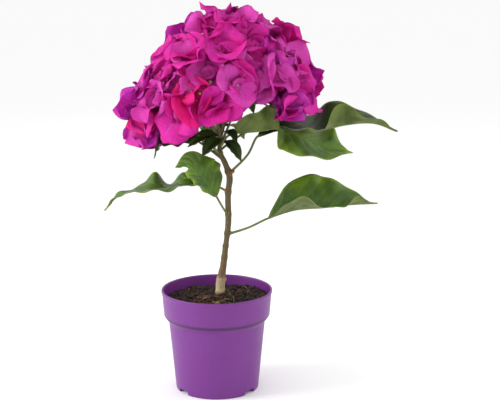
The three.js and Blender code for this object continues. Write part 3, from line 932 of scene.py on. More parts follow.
@dataclass
class Pot:
    """The round nursery pot with its rolled lip, collar, foot ring and drains."""

    height: float = 110.0
    rim_radius: float = 60.0
    lip: float = 2.2
    collar_foot: tuple[float, float] = (57.3, 81.7)
    shoulder: tuple[float, float] = (52.2, 75.5)
    base_radius: float = 45.0
    wall: float = 1.4
    groove: float = 0.7
    foot_height: float = 4.5
    foot_ring: float = 2.4
    floor_thickness: float = 1.6
    foot_pad: float = 13.0
    steps: int = 160
    slot_bearings: tuple[float, ...] = (-142.0, 98.0, -38.0)
    slot_size: tuple[float, float, float] = (10.0, 15.0, 8.6)
    drain_radius: float = 4.5
    drain_reach: float = 36.0

    @property
    def floor_z(self) -> float:
        """Height of the inner floor."""
        return self.foot_height + self.floor_thickness

    def body_radius(self, z: float) -> float:
        """Return the outer radius of the tapering body at a height."""
        return lerp(self.base_radius, self.shoulder[0], z / self.shoulder[1])

    def corners(self) -> list[tuple[float, float, float]]:
        """Return the profile's corners: radius, height and how round the corner is."""
        rim, top, wall, base = self.rim_radius, self.height, self.wall, self.base_radius
        (collar, collar_z), (neck, neck_z) = self.collar_foot, self.shoulder
        ring = base - self.foot_ring
        return [
            (0.0, 0.0, 0.0),
            (self.foot_pad, 0.0, 0.4),
            (self.foot_pad, self.foot_height, 0.6),
            (ring - 0.2, self.foot_height, 0.8),
            (ring + 0.2, 0.0, 0.5),
            (base, 0.0, 0.9),
            (neck, neck_z, 1.0),
            (neck + wall, neck_z + wall, 0.7),
            (collar - self.groove, collar_z - self.groove, 0.3),
            (collar - self.groove, collar_z, 0.15),
            (collar, collar_z + 0.4, 0.4),
            (rim - 0.8, top - 4.2, 1.2),
            (rim, top - 3.0, 0.7),
            (rim, top - 0.4, 0.7),
            (rim - self.lip / 2, top, 0.5),
            (rim - self.lip, top - 0.8, 0.5),
            (rim - 0.8 - wall * 1.2, top - 4.0, 0.8),
            (collar - wall, collar_z + 0.4, 1.2),
            (neck - wall * 0.6, neck_z + 1.6, 1.0),
            (neck - wall, neck_z - 1.0, 0.6),
            (self.body_radius(self.floor_z) - wall, self.floor_z, 1.5),
            (0.0, self.floor_z, 0.0),
        ]

    def profile(self) -> list[Vector]:
        """Return the profile with each corner rounded."""
        corners = self.corners()
        points: list[Vector] = []
        for i, (radius, z, fillet) in enumerate(corners):
            here = Vector((radius, 0.0, z))
            if not fillet:
                points.append(here)
                continue
            before, after = (
                Vector((corners[k][0], 0.0, corners[k][1])) - here for k in (i - 1, i + 1)
            )
            room = min(fillet, before.length * 0.45, after.length * 0.45)
            start = here + before.normalized() * room
            end = here + after.normalized() * room
            for share in (0.0, 1 / 3, 2 / 3, 1.0):
                points.append(start.lerp(here, share).lerp(here.lerp(end, share), share))
        return points

    def cutters(self) -> list[bpy.types.Object]:
        """Return the blocks that cut the foot's slots and the drains."""
        made = []
        for bearing in self.slot_bearings:
            turn = Matrix.Rotation(math.radians(bearing), 4, "Z")
            bm = bmesh.new()
            slot = turn @ Matrix.Translation((self.base_radius - 1.0, 0.0, 0.0))
            bmesh.ops.create_cube(bm, size=1.0, matrix=slot @ Matrix.Diagonal((*self.slot_size, 1)))
            drain = turn @ Matrix.Translation((self.drain_reach, 0.0, self.floor_z))
            bmesh.ops.create_cone(
                bm, cap_ends=True, segments=32, radius1=self.drain_radius,
                radius2=self.drain_radius, depth=12.0, matrix=drain,
            )
            bmesh.ops.scale(bm, vec=(MM, MM, MM), verts=bm.verts)
            made.append(add_object("cutter", mesh_of(bm, "cutter")))
        return made

    def build(self) -> bpy.types.Object:
        """Spin the profile, cut the foot and dress the pot."""
        bm = bmesh.new()
        verts = [bm.verts.new(point * MM) for point in self.profile()]
        edges = [bm.edges.new(pair) for pair in zip(verts, verts[1:])]
        bmesh.ops.spin(
            bm, geom=verts + edges, cent=(0, 0, 0), axis=(0, 0, 1), dvec=(0, 0, 0),
            angle=FULL_TURN, steps=self.steps, use_merge=True,
        )
        bmesh.ops.remove_doubles(bm, verts=bm.verts, dist=1e-6)
        bmesh.ops.recalc_face_normals(bm, faces=bm.faces)
        pot = add_object("pot_blank", mesh_of(bm, "pot_shell"))
        cutters = self.cutters()
        for cutter in cutters:
            cut = pot.modifiers.new("cut", "BOOLEAN")
            cut.operation = "DIFFERENCE"
            cut.solver = "EXACT"
            cut.object = cutter
        graph = bpy.context.evaluated_depsgraph_get()
        shell = bpy.data.meshes.new_from_object(pot.evaluated_get(graph))
        for spent in (pot, *cutters):
            bpy.data.objects.remove(spent)
        shell.materials.clear()
        shell.shade_smooth()
        shell.set_sharp_from_angle(angle=math.radians(38.0))
        return dress(shell, "pot_shell", [PotPlastic().material()], ["pot"])


@dataclass
class Soil:
    """The root ball: a lumpy top round the stem, with crumbs and fine roots."""

    pot: Pot
    edge_z: float = 96.0
    mound_z: float = 101.5
    mound_radius: float = 21.0
    crumbs: int = 1700
    crumb_inner: float = 6.5
    crumb_room: float = 1.5
    clod: float = 3.2
    roots: int = 46
    seed: int = 41

    @property
    def edge_radius(self) -> float:
        """Radius of the surface beside the wall."""
        return self.pot.collar_foot[0] - self.pot.wall - 2 * GAP

    def height(self, x: float, y: float) -> float:
        """Return the surface's height at a place."""
        radius = math.hypot(x, y)
        rise = 1.0 - ease(radius, self.mound_radius * 0.7, self.mound_radius * 1.15)
        lumps = noise.fractal(Vector((x, y, 5.0)) * 0.085, 0.9, 2.1, 4) * 2.3
        fine = noise.fractal(Vector((x, y, 11.0)) * 0.42, 0.8, 2.0, 3) * 1.1
        calm = ease(radius, 5.0, 12.0) * (1.0 - 0.6 * ease(radius, 50.0, self.edge_radius))
        heaped = 4.6 * ease(x + y * 0.4, 18.0, 52.0) + 2.2 * ease(y - x, 34.0, 62.0)
        return lerp(self.edge_z, self.mound_z, rise) + (lumps + fine) * calm + heaped

    def place(self, t: float, turn: float) -> Vector:
        """Return the root ball's surface from its middle over its side to its floor."""
        clear = self.pot.wall + 2 * GAP
        neck, neck_z = self.pot.shoulder
        floor_z = self.pot.floor_z + GAP
        side = [
            (self.edge_radius, self.edge_z - 2.0),
            (self.edge_radius, self.pot.collar_foot[1] + 1.0),
            (neck - clear, neck_z + 2.0),
            (neck - clear, neck_z),
            (self.pot.body_radius(floor_z) - clear, floor_z),
            (0.0, floor_z),
        ]
        top = 0.8
        if t <= top:
            radius = self.edge_radius * t / top
            x, y = radius * math.cos(turn), radius * math.sin(turn)
            return Vector((x, y, self.height(x, y)))
        down = (t - top) / (1.0 - top) * (len(side) - 1)
        k = min(int(down), len(side) - 2)
        radius = lerp(side[k][0], side[k + 1][0], down - k)
        z = lerp(side[k][1], side[k + 1][1], down - k)
        return Vector((radius * math.cos(turn), radius * math.sin(turn), z))

    def scatter(self, draws: Draws, inner: float, outer: float) -> Vector:
        """Draw a place on the surface between two radii."""
        radius = math.sqrt(draws.between(inner**2, outer**2))
        turn = draws.between(0.0, FULL_TURN)
        x, y = radius * math.cos(turn), radius * math.sin(turn)
        return Vector((x, y, self.height(x, y)))

    def build(self) -> None:
        """Build the root ball, its crumbs and its loose roots."""
        peat = Peat().material()
        ball = Piece("soil_ball")
        ball.tube(100, 180, self.place)
        ball.finish([peat], "soil", ["soil"])
        draws = Draws(self.seed)
        crumbs = Piece("soil_crumbs")
        for _ in range(self.crumbs):
            spot = self.scatter(draws, self.crumb_inner, self.edge_radius - self.crumb_room)
            size = draws.between(0.35, 1.0) ** 3 * self.clod
            turn = Matrix.Rotation(draws.between(0.0, FULL_TURN), 4, "Z")
            tilt = Matrix.Rotation(draws.between(-0.9, 0.9), 4, "X")
            shape = Matrix.Diagonal((size * draws.between(0.8, 1.8), size, size * 0.7, 1.0))
            for vert in crumbs.lump(Matrix.Translation(spot) @ turn @ tilt @ shape):
                vert.co += (vert.co - spot) * draws.about(0.0, 0.25)
                inward = min(1.0, self.edge_radius / vert.co.xy.length)
                vert.co.xy *= inward
        crumbs.finish([peat], "soil")
        self.lay_roots(draws)

    def lay_roots(self, draws: Draws) -> None:
        """Lay fine roots round the mound's margin and here and there beyond it."""
        fibres = Piece("soil_roots")
        for i in range(self.roots):
            near = i % 3 != 0
            inner, outer = 8.0, self.edge_radius - 6.0
            if near:
                inner, outer = 16.0, self.mound_radius + 1.5
            start = self.scatter(draws, inner, outer)
            length = draws.between(8.0, 20.0) if near else draws.between(4.0, 11.0)
            turn = math.atan2(start.y, start.x) + math.pi / 2 + draws.about(0.0, 0.35)
            turn += 0.0 if near else draws.between(0.0, FULL_TURN)
            bend = length / outer if near else draws.about(0.0, 1.1)
            arch = draws.between(0.3, 1.6)
            rows: list[Row] = []
            for k in range(6):
                share = k / 5
                way = turn + bend * share
                x = start.x + math.cos(way) * length * share
                y = start.y + math.sin(way) * length * share
                reach = math.hypot(x, y) / (self.edge_radius - self.crumb_room)
                x, y = x / max(1.0, reach), y / max(1.0, reach)
                lift = arch * math.sin(math.pi * share)
                rows.append((x, y, self.height(x, y) + lift, lerp(0.34, 0.12, share)))
            Limb(rows, 10).grow(fibres, 5)
        fibres.finish([Fibre().material()], "soil")


# ---------------------------------------------------------------- stem


@dataclass
class Stem:
    """The single stem: a pale swollen foot, leaf nodes, a kink and a thin leader."""

    rows: tuple[Row, ...] = (
        (2.6, -4.0, 94.0, 5.9),
        (3.0, -4.0, 103.0, 5.0),
        (4.4, -4.0, 119.0, 4.9),
        (7.2, -4.0, 136.0, 3.5),
        (10.1, -4.0, 160.0, 2.8),
        (12.8, -4.0, 184.0, 3.2),
        (12.6, -4.0, 214.0, 3.2),
        (14.3, -4.0, 233.0, 3.3),
        (9.3, -4.0, 248.6, 3.0),
        (4.2, -4.0, 260.0, 2.5),
        (4.6, -3.0, 275.0, 2.1),
        (6.0, -1.0, 300.0, 1.6),
    )
    nodes: tuple[tuple[float, float], ...] = (
        (122.0, 0.7), (146.0, 0.5), (158.0, 0.5), (172.0, 0.7), (193.0, 0.4),
        (217.0, 0.6), (239.0, 0.9), (259.0, 0.8), (270.0, 0.4),
    )
    buds: tuple[tuple[Point, Point, float], ...] = (
        ((7.4, -6.0, 146.5), (-0.7, -0.6, 0.4), 1.3),
        ((7.6, -5.6, 159.0), (-0.9, -0.4, 0.3), 1.5),
        ((14.6, -5.6, 173.4), (0.7, -0.5, 0.6), 2.0),
        ((9.6, -6.0, 218.6), (-0.7, -0.6, 0.4), 1.9),
        ((17.4, -5.6, 238.8), (0.7, -0.4, 0.6), 2.5),
        ((15.4, -7.0, 235.6), (0.3, -0.9, 0.1), 1.6),
        ((1.2, -6.0, 259.6), (-0.8, -0.5, 0.4), 1.9),
        ((7.8, -5.4, 270.0), (0.6, -0.6, 0.4), 1.4),
    )
    stub: tuple[Row, ...] = (
        (4.6, -4.0, 257.6, 1.8),
        (1.0, -4.4, 259.8, 1.6),
        (-2.4, -4.8, 262.4, 1.4),
    )
    steps: int = 330
    around: int = 28

    def point(self, z: float) -> Vector:
        """Return the centre line's straight-run point at a height."""
        upper = max(1, next(i for i, row in enumerate(self.rows) if row[2] >= z))
        a, b = (Vector(self.rows[k][:3]) for k in (upper - 1, upper))
        return a.lerp(b, (z - a.z) / (b.z - a.z))

    def relief(self, centre: Vector, turn: float, _share: float) -> float:
        """Return how far the bark stands out at a centre and a turn."""
        around = Vector((math.cos(turn), math.sin(turn), centre.z * 0.07))
        ridges = noise.noise(Vector((around.x * 3.2, around.y * 3.2, centre.z * 0.05)))
        bark = noise.fractal(around * 1.9, 0.9, 2.2, 4)
        swell = sum(rise * math.exp(-(((centre.z - z) / 2.6) ** 2)) for z, rise in self.nodes)
        foot = 1.0 - ease(centre.z, 108.0, 150.0)
        knob = 0.9 * foot * noise.noise(Vector((around.x, around.y, centre.z * 0.16)))
        pinch = -0.9 * math.exp(-(((centre.z - 103.5) / 2.6) ** 2))
        return ridges * 0.24 + bark * 0.2 + swell + knob + pinch

    def build(self) -> None:
        """Build the stem with its bark, its buds and the cut side shoot."""
        wood = Piece("stem_bark")
        Limb(self.rows, self.steps, self.relief).grow(wood, self.around)
        Limb(self.stub, 10, lambda c, turn, t: 0.18 * math.sin(3 * turn)).grow(wood, 12)
        wood.finish([StemBark().material()], "bark", ["stem"])
        scales = Piece("stem_buds")
        for spot, way, size in self.buds:
            axis = Vector(way).normalized()
            lie = axis.to_track_quat("Z", "X").to_matrix().to_4x4()
            for k in range(4):
                side = heading(90.0 * k + 20.0, 0.0) * size * 0.32
                leaf = Matrix.Diagonal((size * 0.42, size * 0.42, size * (0.75 + 0.12 * k), 1.0))
                scales.lump(Matrix.Translation(spot) @ lie @ Matrix.Translation(side) @ leaf, 2)
        bud = SoftTint("bud_scale", paint(176, 106, 62), paint(132, 74, 44), 0.55)
        scales.finish([bud.material()], "bark")


# ---------------------------------------------------------------- leaves


@dataclass
class Leaf:
    """A large leaf: its stalk from the stem, its midrib and how its halves tilt."""

    node: str
    stalk: tuple[Point, Point]
    rib: tuple[Point, ...]
    half_width: float
    left: tuple[float, ...]
    right: tuple[float, ...]
    up: Point = (0.0, 0.0, 1.0)
    outline: Outline = Outline()
    left_reach: tuple[float, ...] = (1.0,)
    right_reach: tuple[float, ...] = (1.0,)

    THICKNESS_SHARE = 1.0 / 110.0
    STALK_RADII = (1.5, 1.2)
    STALK_SINK = 0.07

    def blade(self, plain: bool = False) -> Blade:
        """Return the blade.

        Args:
            plain: Leave out the ripple and the quilting between the veins.

        Returns:
            The blade, as the solids have it or in full detail.
        """
        made = Blade(
            self.rib, self.up, self.half_width, self.outline, self.left, self.right,
            self.left_reach, self.right_reach,
        )
        if not plain:
            made.thickness = made.curve.length * self.THICKNESS_SHARE
            made.ripple, made.phase = 1.7, self.half_width
            made.quilt = 1.0
        return made

    def stalk_rows(self) -> list[Row]:
        """Return the stalk's rows from the stem to a little way under the midrib."""
        thick, thin = self.STALK_RADII
        sunk = self.blade(plain=True).surface(self.STALK_SINK, 0.0)[0]
        return [
            (*self.stalk[0], thick),
            (*self.stalk[1], thin),
            (*self.rib[0], thin),
            (*sunk, thin * 0.7),
        ]

    def samples(self) -> list[Vector]:
        """Return points over the leaf, for the room that the flower heads keep."""
        blade = self.blade(plain=True)
        along, across, spacing = 30, 8, 1.5
        points = [
            blade.surface(i / along, j / across)[0]
            for i in range(along + 1)
            for j in range(-across, across + 1)
        ]
        stalk = SmoothCurve([row[:3] for row in self.stalk_rows()])
        count = max(2, math.ceil(stalk.length / spacing))
        return points + [stalk.along(i / count) for i in range(count + 1)]


LEAVES = (
    Leaf(
        "leaf_low_right",
        ((12, -4, 171), (34, -3, 178)),
        ((52, -4, 187), (84, -8, 198), (115, -10, 201), (144, -8, 204), (172, -2, 204)),
        38.0,
        (72, 68, 66, 62, 60, 45, 20),
        (15, 22, 33, 15, 11, 40, 10),
        outline=Outline(0.42, 1.15, 1.25),
    ),
    Leaf(
        "leaf_mid_right",
        ((6, -5, 267), (12, -10, 277)),
        ((20, -14, 281), (42, -17, 283), (66, -20, 286),
         (93, -26, 276), (116, -28, 266), (142, -26, 262)),
        28.0,
        (30, 30, 20, 0, 0, 5, 10, 20, 30, 45, 70, 50, 30),
        (72, 72, 70, 62, 72, -20, -34, -30, -28, -26, -22, -15, 0),
        outline=Outline(0.5, 0.9, 0.35),
        left_reach=(0.3, 0.3, 0.3, 0.3, 0.4, 0.6, 0.8, 0.9, 1.1, 1.3, 1.5, 1, 1),
    ),
    Leaf(
        "leaf_high_right",
        ((14, -4, 237), (33, -2, 256)),
        ((43, 6, 274), (73, 14, 282), (107, 20, 278),
         (137, 22, 285), (168, 22, 287), (194, 20, 278)),
        34.0,
        (60, 50, 30, 22, 40, 70, 35, 30, 20),
        (0, -5, -10, -5, 20, 72, 25, 45, 20),
        right_reach=(0.3, 0.3, 0.35, 0.4, 0.7, 1, 1, 1, 1),
    ),
    Leaf(
        "leaf_low_left",
        ((12, -3, 217), (4, 4, 220)),
        ((-5, 9, 221), (-27, 4, 223), (-53, -2, 221),
         (-79, -4, 219), (-104, -4, 212), (-119, -2, 196)),
        24.0,
        (10, 10, 10, 8, 1, 3, 5, 5, 8, 10, 10),
        (20, 30, 38, 5, 6, 44, 10, 2, 16, 5, 0),
        left_reach=(1, 0.95, 0.8, 0.85, 0.95, 1, 1, 1),
    ),
    Leaf(
        "leaf_mid_left",
        ((12, -5, 193), (7, -12, 202)),
        ((1, -17, 214), (-6, -22, 225), (-14, -27, 237),
         (-21, -28, 246), (-28, -28, 251), (-42, -24, 247)),
        27.0,
        (-65, -65, -62, -55, -50),
        (0, 0, 5, 0),
        up=(0.9, -1, 0.25),
        outline=Outline(0.36, 1.2, 0.6),
        left_reach=(0.4, 0.4, 0.45, 0.6, 0.9, 1),
    ),
    Leaf(
        "leaf_shade_left",
        ((5, -4, 257), (-6, -12, 269)),
        ((-16, -20, 279), (-31, -24, 277), (-46, -26, 275), (-57, -26, 274), (-63, -24, 256)),
        11.0,
        (-20,),
        (20,),
        up=(0, -0.1, 1),
    ),
    Leaf(
        "leaf_back_right",
        ((5, -4, 262), (18, 16, 270)),
        ((30, 30, 275), (52, 52, 280), (76, 72, 277), (92, 86, 266)),
        25.0,
        (30, 20, 25, 10),
        (35, 25, 10, 15),
        outline=Outline(0.4, 1.1, 0.8),
    ),
    Leaf(
        "leaf_back",
        ((4, -4, 256), (2, 14, 266)),
        ((0, 32, 272), (-5, 60, 278), (-12, 92, 275), (-16, 118, 264)),
        26.0,
        (25, 30, 15, 10),
        (40, 20, 20, 10),
        outline=Outline(0.4, 1.1, 0.8),
    ),
    Leaf(
        "leaf_back_left",
        ((7, -4, 252), (-9, 10, 262)),
        ((-24, 22, 270), (-44, 40, 275), (-66, 56, 273), (-82, 66, 265)),
        24.0,
        (20, 30, 20, 10),
        (35, 25, 15, 10),
        outline=Outline(0.4, 1.1, 0.8),
    ),
)


@dataclass
class Sprig:
    """A small young leaf near the fork, from its foot to its tip."""

    foot: Point
    tip: Point
    half_width: float
    up: Point = (0.0, -0.6, 1.0)

    def blade(self) -> Blade:
        """Return the blade, arched over its middle."""
        foot, tip, up = Vector(self.foot), Vector(self.tip), Vector(self.up).normalized()
        arch = (tip - foot).length * 0.14
        heights = (0.0, 0.8, 1.0, 0.7, 0.0)
        rib = [foot.lerp(tip, k / 4) + up * (arch * rise) for k, rise in enumerate(heights)]
        outline = Outline(0.42, 1.1, 0.8)
        made = Blade(rib, self.up, self.half_width, outline, (22, 28, 14), (26, 20, 12))
        made.thickness, made.quilt, made.ripple = 0.35, 0.3, 0.5
        made.phase = self.half_width * 3.0
        return made


SPRIGS = (
    Sprig((9, -8, 273), (27, -22, 252), 7.5, (0.5, -0.9, 0.6)),
    Sprig((5, -9, 275), (-14, -26, 258), 8.5, (-0.3, -1.0, 0.5)),
    Sprig((3, -9, 279), (-29, -27, 268), 8.0, (-0.1, -0.8, 0.9)),
    Sprig((8, -9, 282), (23, -30, 274), 7.0, (0.3, -0.6, 1.0)),
    Sprig((5, -12, 312), (-12, -44, 330), 9.0, (0.0, -0.9, 0.5)),
    Sprig((8, -14, 322), (12, -50, 318), 9.0, (0.1, -0.5, 1.0)),
    Sprig((4, -14, 330), (-6, -46, 348), 8.0, (0.2, -1.0, 0.3)),
    Sprig((10, -12, 305), (28, -44, 300), 8.5, (0.2, -0.5, 1.0)),
    Sprig((2, 6, 284), (-16, 34, 262), 9.0, (-0.2, 0.6, 1.0)),
    Sprig((10, 6, 286), (30, 30, 268), 9.0, (0.3, 0.6, 1.0)),
)


@dataclass
class Foliage:
    """All leaves: nine large ones, the small ones and their stalks."""

    along: int = 76
    across: int = 24
    leaves: tuple[Leaf, ...] = LEAVES
    sprigs: tuple[Sprig, ...] = SPRIGS
    # large leaves that get painted shade, as they lie in the bracts' shadow
    shaded: tuple[str, ...] = ("leaf_high_right", "leaf_shade_left")

    def build(self, inner: Sequence[Sprig]) -> None:
        """Build the leaves, their stalks, the young leaves and those inside the crown."""
        upper = LeafSkin(
            "leaf_upper", paint(86, 122, 26), paint(44, 76, 14), paint(108, 140, 48),
            paint(142, 172, 26), 0.2,
        ).material()
        lower = LeafSkin(
            "leaf_lower", paint(108, 126, 54), paint(62, 78, 28), paint(144, 156, 84),
            paint(128, 154, 34), 0.46, sunk=-1.0,
        ).material()
        # a darker green skin: on the young leaves, and as painted shade on the large leaves in the
        # bracts' shadow
        dark = LeafSkin(
            "leaf_young_and_painted_shade", paint(54, 76, 26), paint(28, 44, 14), paint(80, 98, 46),
            paint(90, 114, 34), 0.26,
        ).material()
        blades = Piece("leaf_blades")
        stalks = Piece("leaf_stalks")
        for leaf in self.leaves:
            # painted shade: the leaves in the bracts' shadow get the darker skin on their upper
            # face
            face = 2 if leaf.node in self.shaded else 0
            leaf.blade().grow(blades, self.along, self.across, face, 1)
            Limb(leaf.stalk_rows(), 30).grow(stalks, 10)
        blades.finish([upper, lower, dark], "leaf", [leaf.node for leaf in self.leaves])
        green = YoungBark("leaf_stalk", paint(112, 128, 66), paint(92, 98, 50))
        stalks.finish([green.material()], "leaf")
        young = Piece("young_leaves")
        for sprig in (*self.sprigs, *inner):
            sprig.blade().grow(young, 20, 10, 0, 1)
        young.finish([dark, lower], "leaf")


# ---------------------------------------------------------------- crown


@dataclass(frozen=True)
class Mass:
    """One mass of the crown: where it points, how far it reaches, and its tones."""

    bearing: float
    elevation: float
    reach: float
    lowest: float
    tones: tuple[Tone, ...] = (Tone.MAGENTA, Tone.ORCHID, Tone.PURPLE)

    @property
    def axis(self) -> Vector:
        """Direction of the mass from the crown's centre."""
        return heading(self.bearing, self.elevation)


@dataclass
class Head:
    """One flower head: where it starts, its axis and the walls of its cell."""

    mass: str
    root: Vector
    axis: Vector
    opening: float
    size: float
    seed: int
    walls: list[Vector] = field(default_factory=list)


@dataclass
class OpenHead:
    """A head at one try: how it is turned, and each bract's length and last lean."""

    head: Head
    spin: float
    start: float
    bracts: list[tuple[float, float]]


Plan = tuple[Vector, Vector, Vector, list[OpenHead]]

MASSES: dict[str, Mass] = {
    "left": Mass(-177, -4, 1.16, -23, (Tone.ORCHID, Tone.PURPLE)),
    "front_left": Mass(-142, 5, 1.04, -9, (Tone.MAGENTA, Tone.CRIMSON, Tone.ORCHID)),
    "front": Mass(-109, 18, 0.98, 4, (Tone.MAGENTA, Tone.ORCHID, Tone.CRIMSON)),
    "front_right": Mass(-61, 21, 1.13, 15, (Tone.ORCHID, Tone.MAGENTA)),
    "right": Mass(-24, 21, 1.19, -6),
    "back_right": Mass(14, 18, 1.21, 1, (Tone.PURPLE, Tone.MAGENTA)),
    "back": Mass(65, 2, 1.03, 0),
    "back_left": Mass(109, 14, 1.14, -2),
    "far_left": Mass(153, 12, 0.98, -24, (Tone.PURPLE, Tone.MAGENTA)),
    "top_left": Mass(-155, 39, 1.02, -2, (Tone.ORCHID, Tone.MAGENTA)),
    "top_right": Mass(-10, 56, 1.21, 4, (Tone.MAGENTA, Tone.ORCHID)),
    "top_front": Mass(-94, 52, 1.18, -1, (Tone.ORCHID, Tone.MAGENTA)),
    "top_back": Mass(109, 47, 1.15, -6, (Tone.ORCHID, Tone.PURPLE)),
}


@dataclass
class Crown:
    """The dome of flower heads, its boughs, twigs, bracts and flowers."""

    stem: Stem
    leaves: tuple[Leaf, ...]
    centre: Vector = field(default_factory=lambda: Vector((6.0, 0.0, 311.0)))
    radii: Vector = field(default_factory=lambda: Vector((78.0, 76.0, 78.0)))
    hub: float = 0.34
    fork: float = 0.6
    bough_radii: tuple[float, float] = (1.4, 1.0)
    twig_radii: tuple[float, float] = (1.1, 0.9)
    stalk_radii: tuple[float, float] = (0.8, 1.1)
    bough_heights: tuple[float, float] = (263.0, 298.0)
    neck: float = 4.0
    bough_step: int = 5
    low_masses: float = 30.0
    stalk_lead: float = 0.03
    count: int = 76
    lowest: float = -22.0
    turn: float = 96.9
    angle: float = 137.508
    jitter: float = 2.5
    span: float = 36.0
    sag: float = 0.056
    root: float = 0.851
    neighbour: float = 0.5
    bract_length: float = 42.3
    bract_half_width: float = 20.5
    side_flowers: int = 2
    side_sizes: tuple[float, float] = (0.66, 0.92)
    side_lean: tuple[float, float] = (0.35, 0.8)
    side_room: float = 3.0
    side_offset: tuple[float, float] = (4.0, 8.0)
    side_sink: tuple[float, float] = (3.0, 9.0)
    side_tip_lean: tuple[float, float] = (58.0, 104.0)
    bract_grid: tuple[int, int] = (13, 10)
    side_grid: tuple[int, int] = (12, 8)
    rib_steps: int = 8
    tip_curl: float = 6.0
    tip_drift: tuple[float, float] = (-22.0, 8.0)
    ruffle: tuple[float, float] = (10.0, 26.0)
    cup: tuple[float, ...] = (58, 50, 36, 24, 16, 10, 4, 0, 0)
    own_tone_share: float = 0.78
    flower_heights: tuple[float, float] = (9.0, 13.5)
    star_radii: tuple[float, float] = (1.7, 2.4)
    star_share: float = 0.24
    skirt: tuple[float, float] = (268.0, 303.0)
    skirt_span: tuple[float, float] = (-40.0, 6.0)
    skirt_share: float = 0.75
    swell_reach: tuple[float, float] = (76.0, 104.0)
    swell_cone: tuple[float, float] = (0.78, 0.97)
    swells: tuple[tuple[Point, float], ...] = (
        ((-0.97, -0.1, -0.22), 2.0),
        ((-0.78, -0.2, 0.6), -7.0),
    )
    root_depth: float = 3.0
    stalk_sink: float = 2.5
    root_lean: tuple[float, float] = (8.0, 12.0)
    tip_lean: tuple[float, float, float] = (68.0, 42.0, 12.0)
    midrib_steps: int = 8
    droop: float = 2.5
    cell_margin: float = 0.7
    press_share: float = 0.4
    notch: float = 0.62
    lobe: float = 1.8
    tries: int = 6
    room: float = 5.5
    sample_rows: int = 14
    sample_bearings: int = 48
    inner_count: int = 4
    inner_seed: int = 77
    inner_lengths: tuple[float, float] = (24.0, 36.0)

    def __post_init__(self) -> None:
        """Note where the large leaves are."""
        taken = [point for leaf in self.leaves for point in leaf.samples()]
        self.leaf_points = KDTree(len(taken))
        for i, point in enumerate(taken):
            self.leaf_points.insert(point, i)
        self.leaf_points.balance()

    def crown_point(self, direction: Vector, share: float) -> Vector:
        """Return the point on a ray at a share of the crown's radii."""
        return self.centre + direction * self.radii * share

    def lattice_head(self, i: int) -> Head | None:
        """Return the head at place i of the lattice, where its mass reaches."""
        draws = Draws(7919 * (i + 1) + 13)
        depth = (1.0 - math.sin(math.radians(self.lowest))) * ((i + 0.5) / self.count)
        elevation = math.degrees(math.asin(1.0 - depth)) + draws.about(0.0, self.jitter)
        bearing = self.turn + self.angle * i + draws.about(0.0, self.jitter)
        direction = heading(bearing, elevation)
        owner = max(MASSES, key=lambda name: MASSES[name].axis.dot(direction))
        mass = MASSES[owner]
        aside = math.degrees(mass.axis.angle(direction)) / self.span
        if aside > 1.0 or elevation < mass.lowest:
            return None
        fall = 1.0 - self.sag * aside * aside
        share = self.root * mass.reach * fall * draws.about(1.0, 0.04)
        root = self.crown_point(direction, share)
        axis = (root - self.centre).normalized()
        opening, size = draws.between(0.0, 1.0), draws.about(1.0, 0.08)
        return Head(owner, root, axis, opening, size, draws.state)

    def heads(self) -> list[Head]:
        """Return every head with the walls halfway to the heads round it."""
        found = [head for i in range(self.count) if (head := self.lattice_head(i))]
        for head in found:
            for other in found:
                if other is not head and other.axis.dot(head.axis) > self.neighbour:
                    head.walls.append((head.axis - other.axis).normalized())
        return found

    def open_head(self, head: Head, attempt: int, draws: Draws) -> OpenHead:
        """Draw a head's bracts; each later try is smaller and more closed.

        Args:
            head: The head.
            attempt: The number of the try, from 0.
            draws: The head's own draws.

        Returns:
            The opened head.
        """
        share = 1.0 - attempt / self.tries
        opening = head.opening * share
        size = head.size * lerp(0.7, 1.0, share)
        spin = draws.between(0.0, 360.0)
        closed, wide, spread = self.tip_lean
        bracts = []
        for _ in range(3):
            length = self.bract_length * size * draws.between(0.92, 1.07)
            bracts.append((length, closed + wide * opening + draws.about(0.0, spread)))
        return OpenHead(head, spin, self.root_lean[0] + self.root_lean[1] * opening, bracts)

    def midrib(self, length: float, start: float, finish: float, t: float) -> tuple[float, float]:
        """Return how far out and how high a bract's midrib is at t."""
        step = length * t / self.midrib_steps
        away, rise = 0.0, -self.root_depth
        for i in range(self.midrib_steps):
            along = ((i + 0.5) / self.midrib_steps) * t
            lean = math.radians(lerp(start, finish, along**0.85))
            away += step * math.sin(lean)
            rise += step * math.cos(lean)
        return away, rise

    def pressed(self, head: Head, point: Vector, share: float) -> Vector:
        """Return a point moved back from the walls of its head's cell by a share."""
        for wall in head.walls:
            inside = (point - self.centre).dot(wall)
            if inside < self.cell_margin:
                point = point + wall * ((self.cell_margin - inside) * share)
        return point

    def cup_points(self, opened: OpenHead) -> list[Vector]:
        """Return points over an opened head's lobed cup."""
        head = opened.head
        across, along = square_to(head.axis)
        points = []
        for j in range(self.sample_bearings):
            bearing = 360.0 * j / self.sample_bearings
            turn = ((bearing - opened.spin) % 360.0) / 120.0
            k, f = int(turn) % 3, turn - int(turn)
            length_a, finish_a = opened.bracts[k]
            length_b, finish_b = opened.bracts[(k + 1) % 3]
            blend = ease(f, 0.0, 1.0)
            aside = 1.0 - abs(1.0 - 2.0 * f)
            outward = across * math.cos(math.radians(bearing))
            outward += along * math.sin(math.radians(bearing))
            for i in range(1, self.sample_rows + 1):
                t = i / self.sample_rows * lerp(1.0, self.notch, aside**self.lobe)
                length = lerp(length_a, length_b, blend)
                finish = lerp(finish_a, finish_b, blend)
                away, rise = self.midrib(length, opened.start, finish, t)
                point = head.root + outward * away + head.axis * rise
                point.z -= self.droop * t * t
                points.append(self.pressed(head, point, 1.0))
        return points

    def is_free(self, points: Iterable[Vector], room: float) -> bool:
        """Tell whether points keep their room from the large leaves."""
        return all(self.leaf_points.find(point)[2] >= room for point in points)

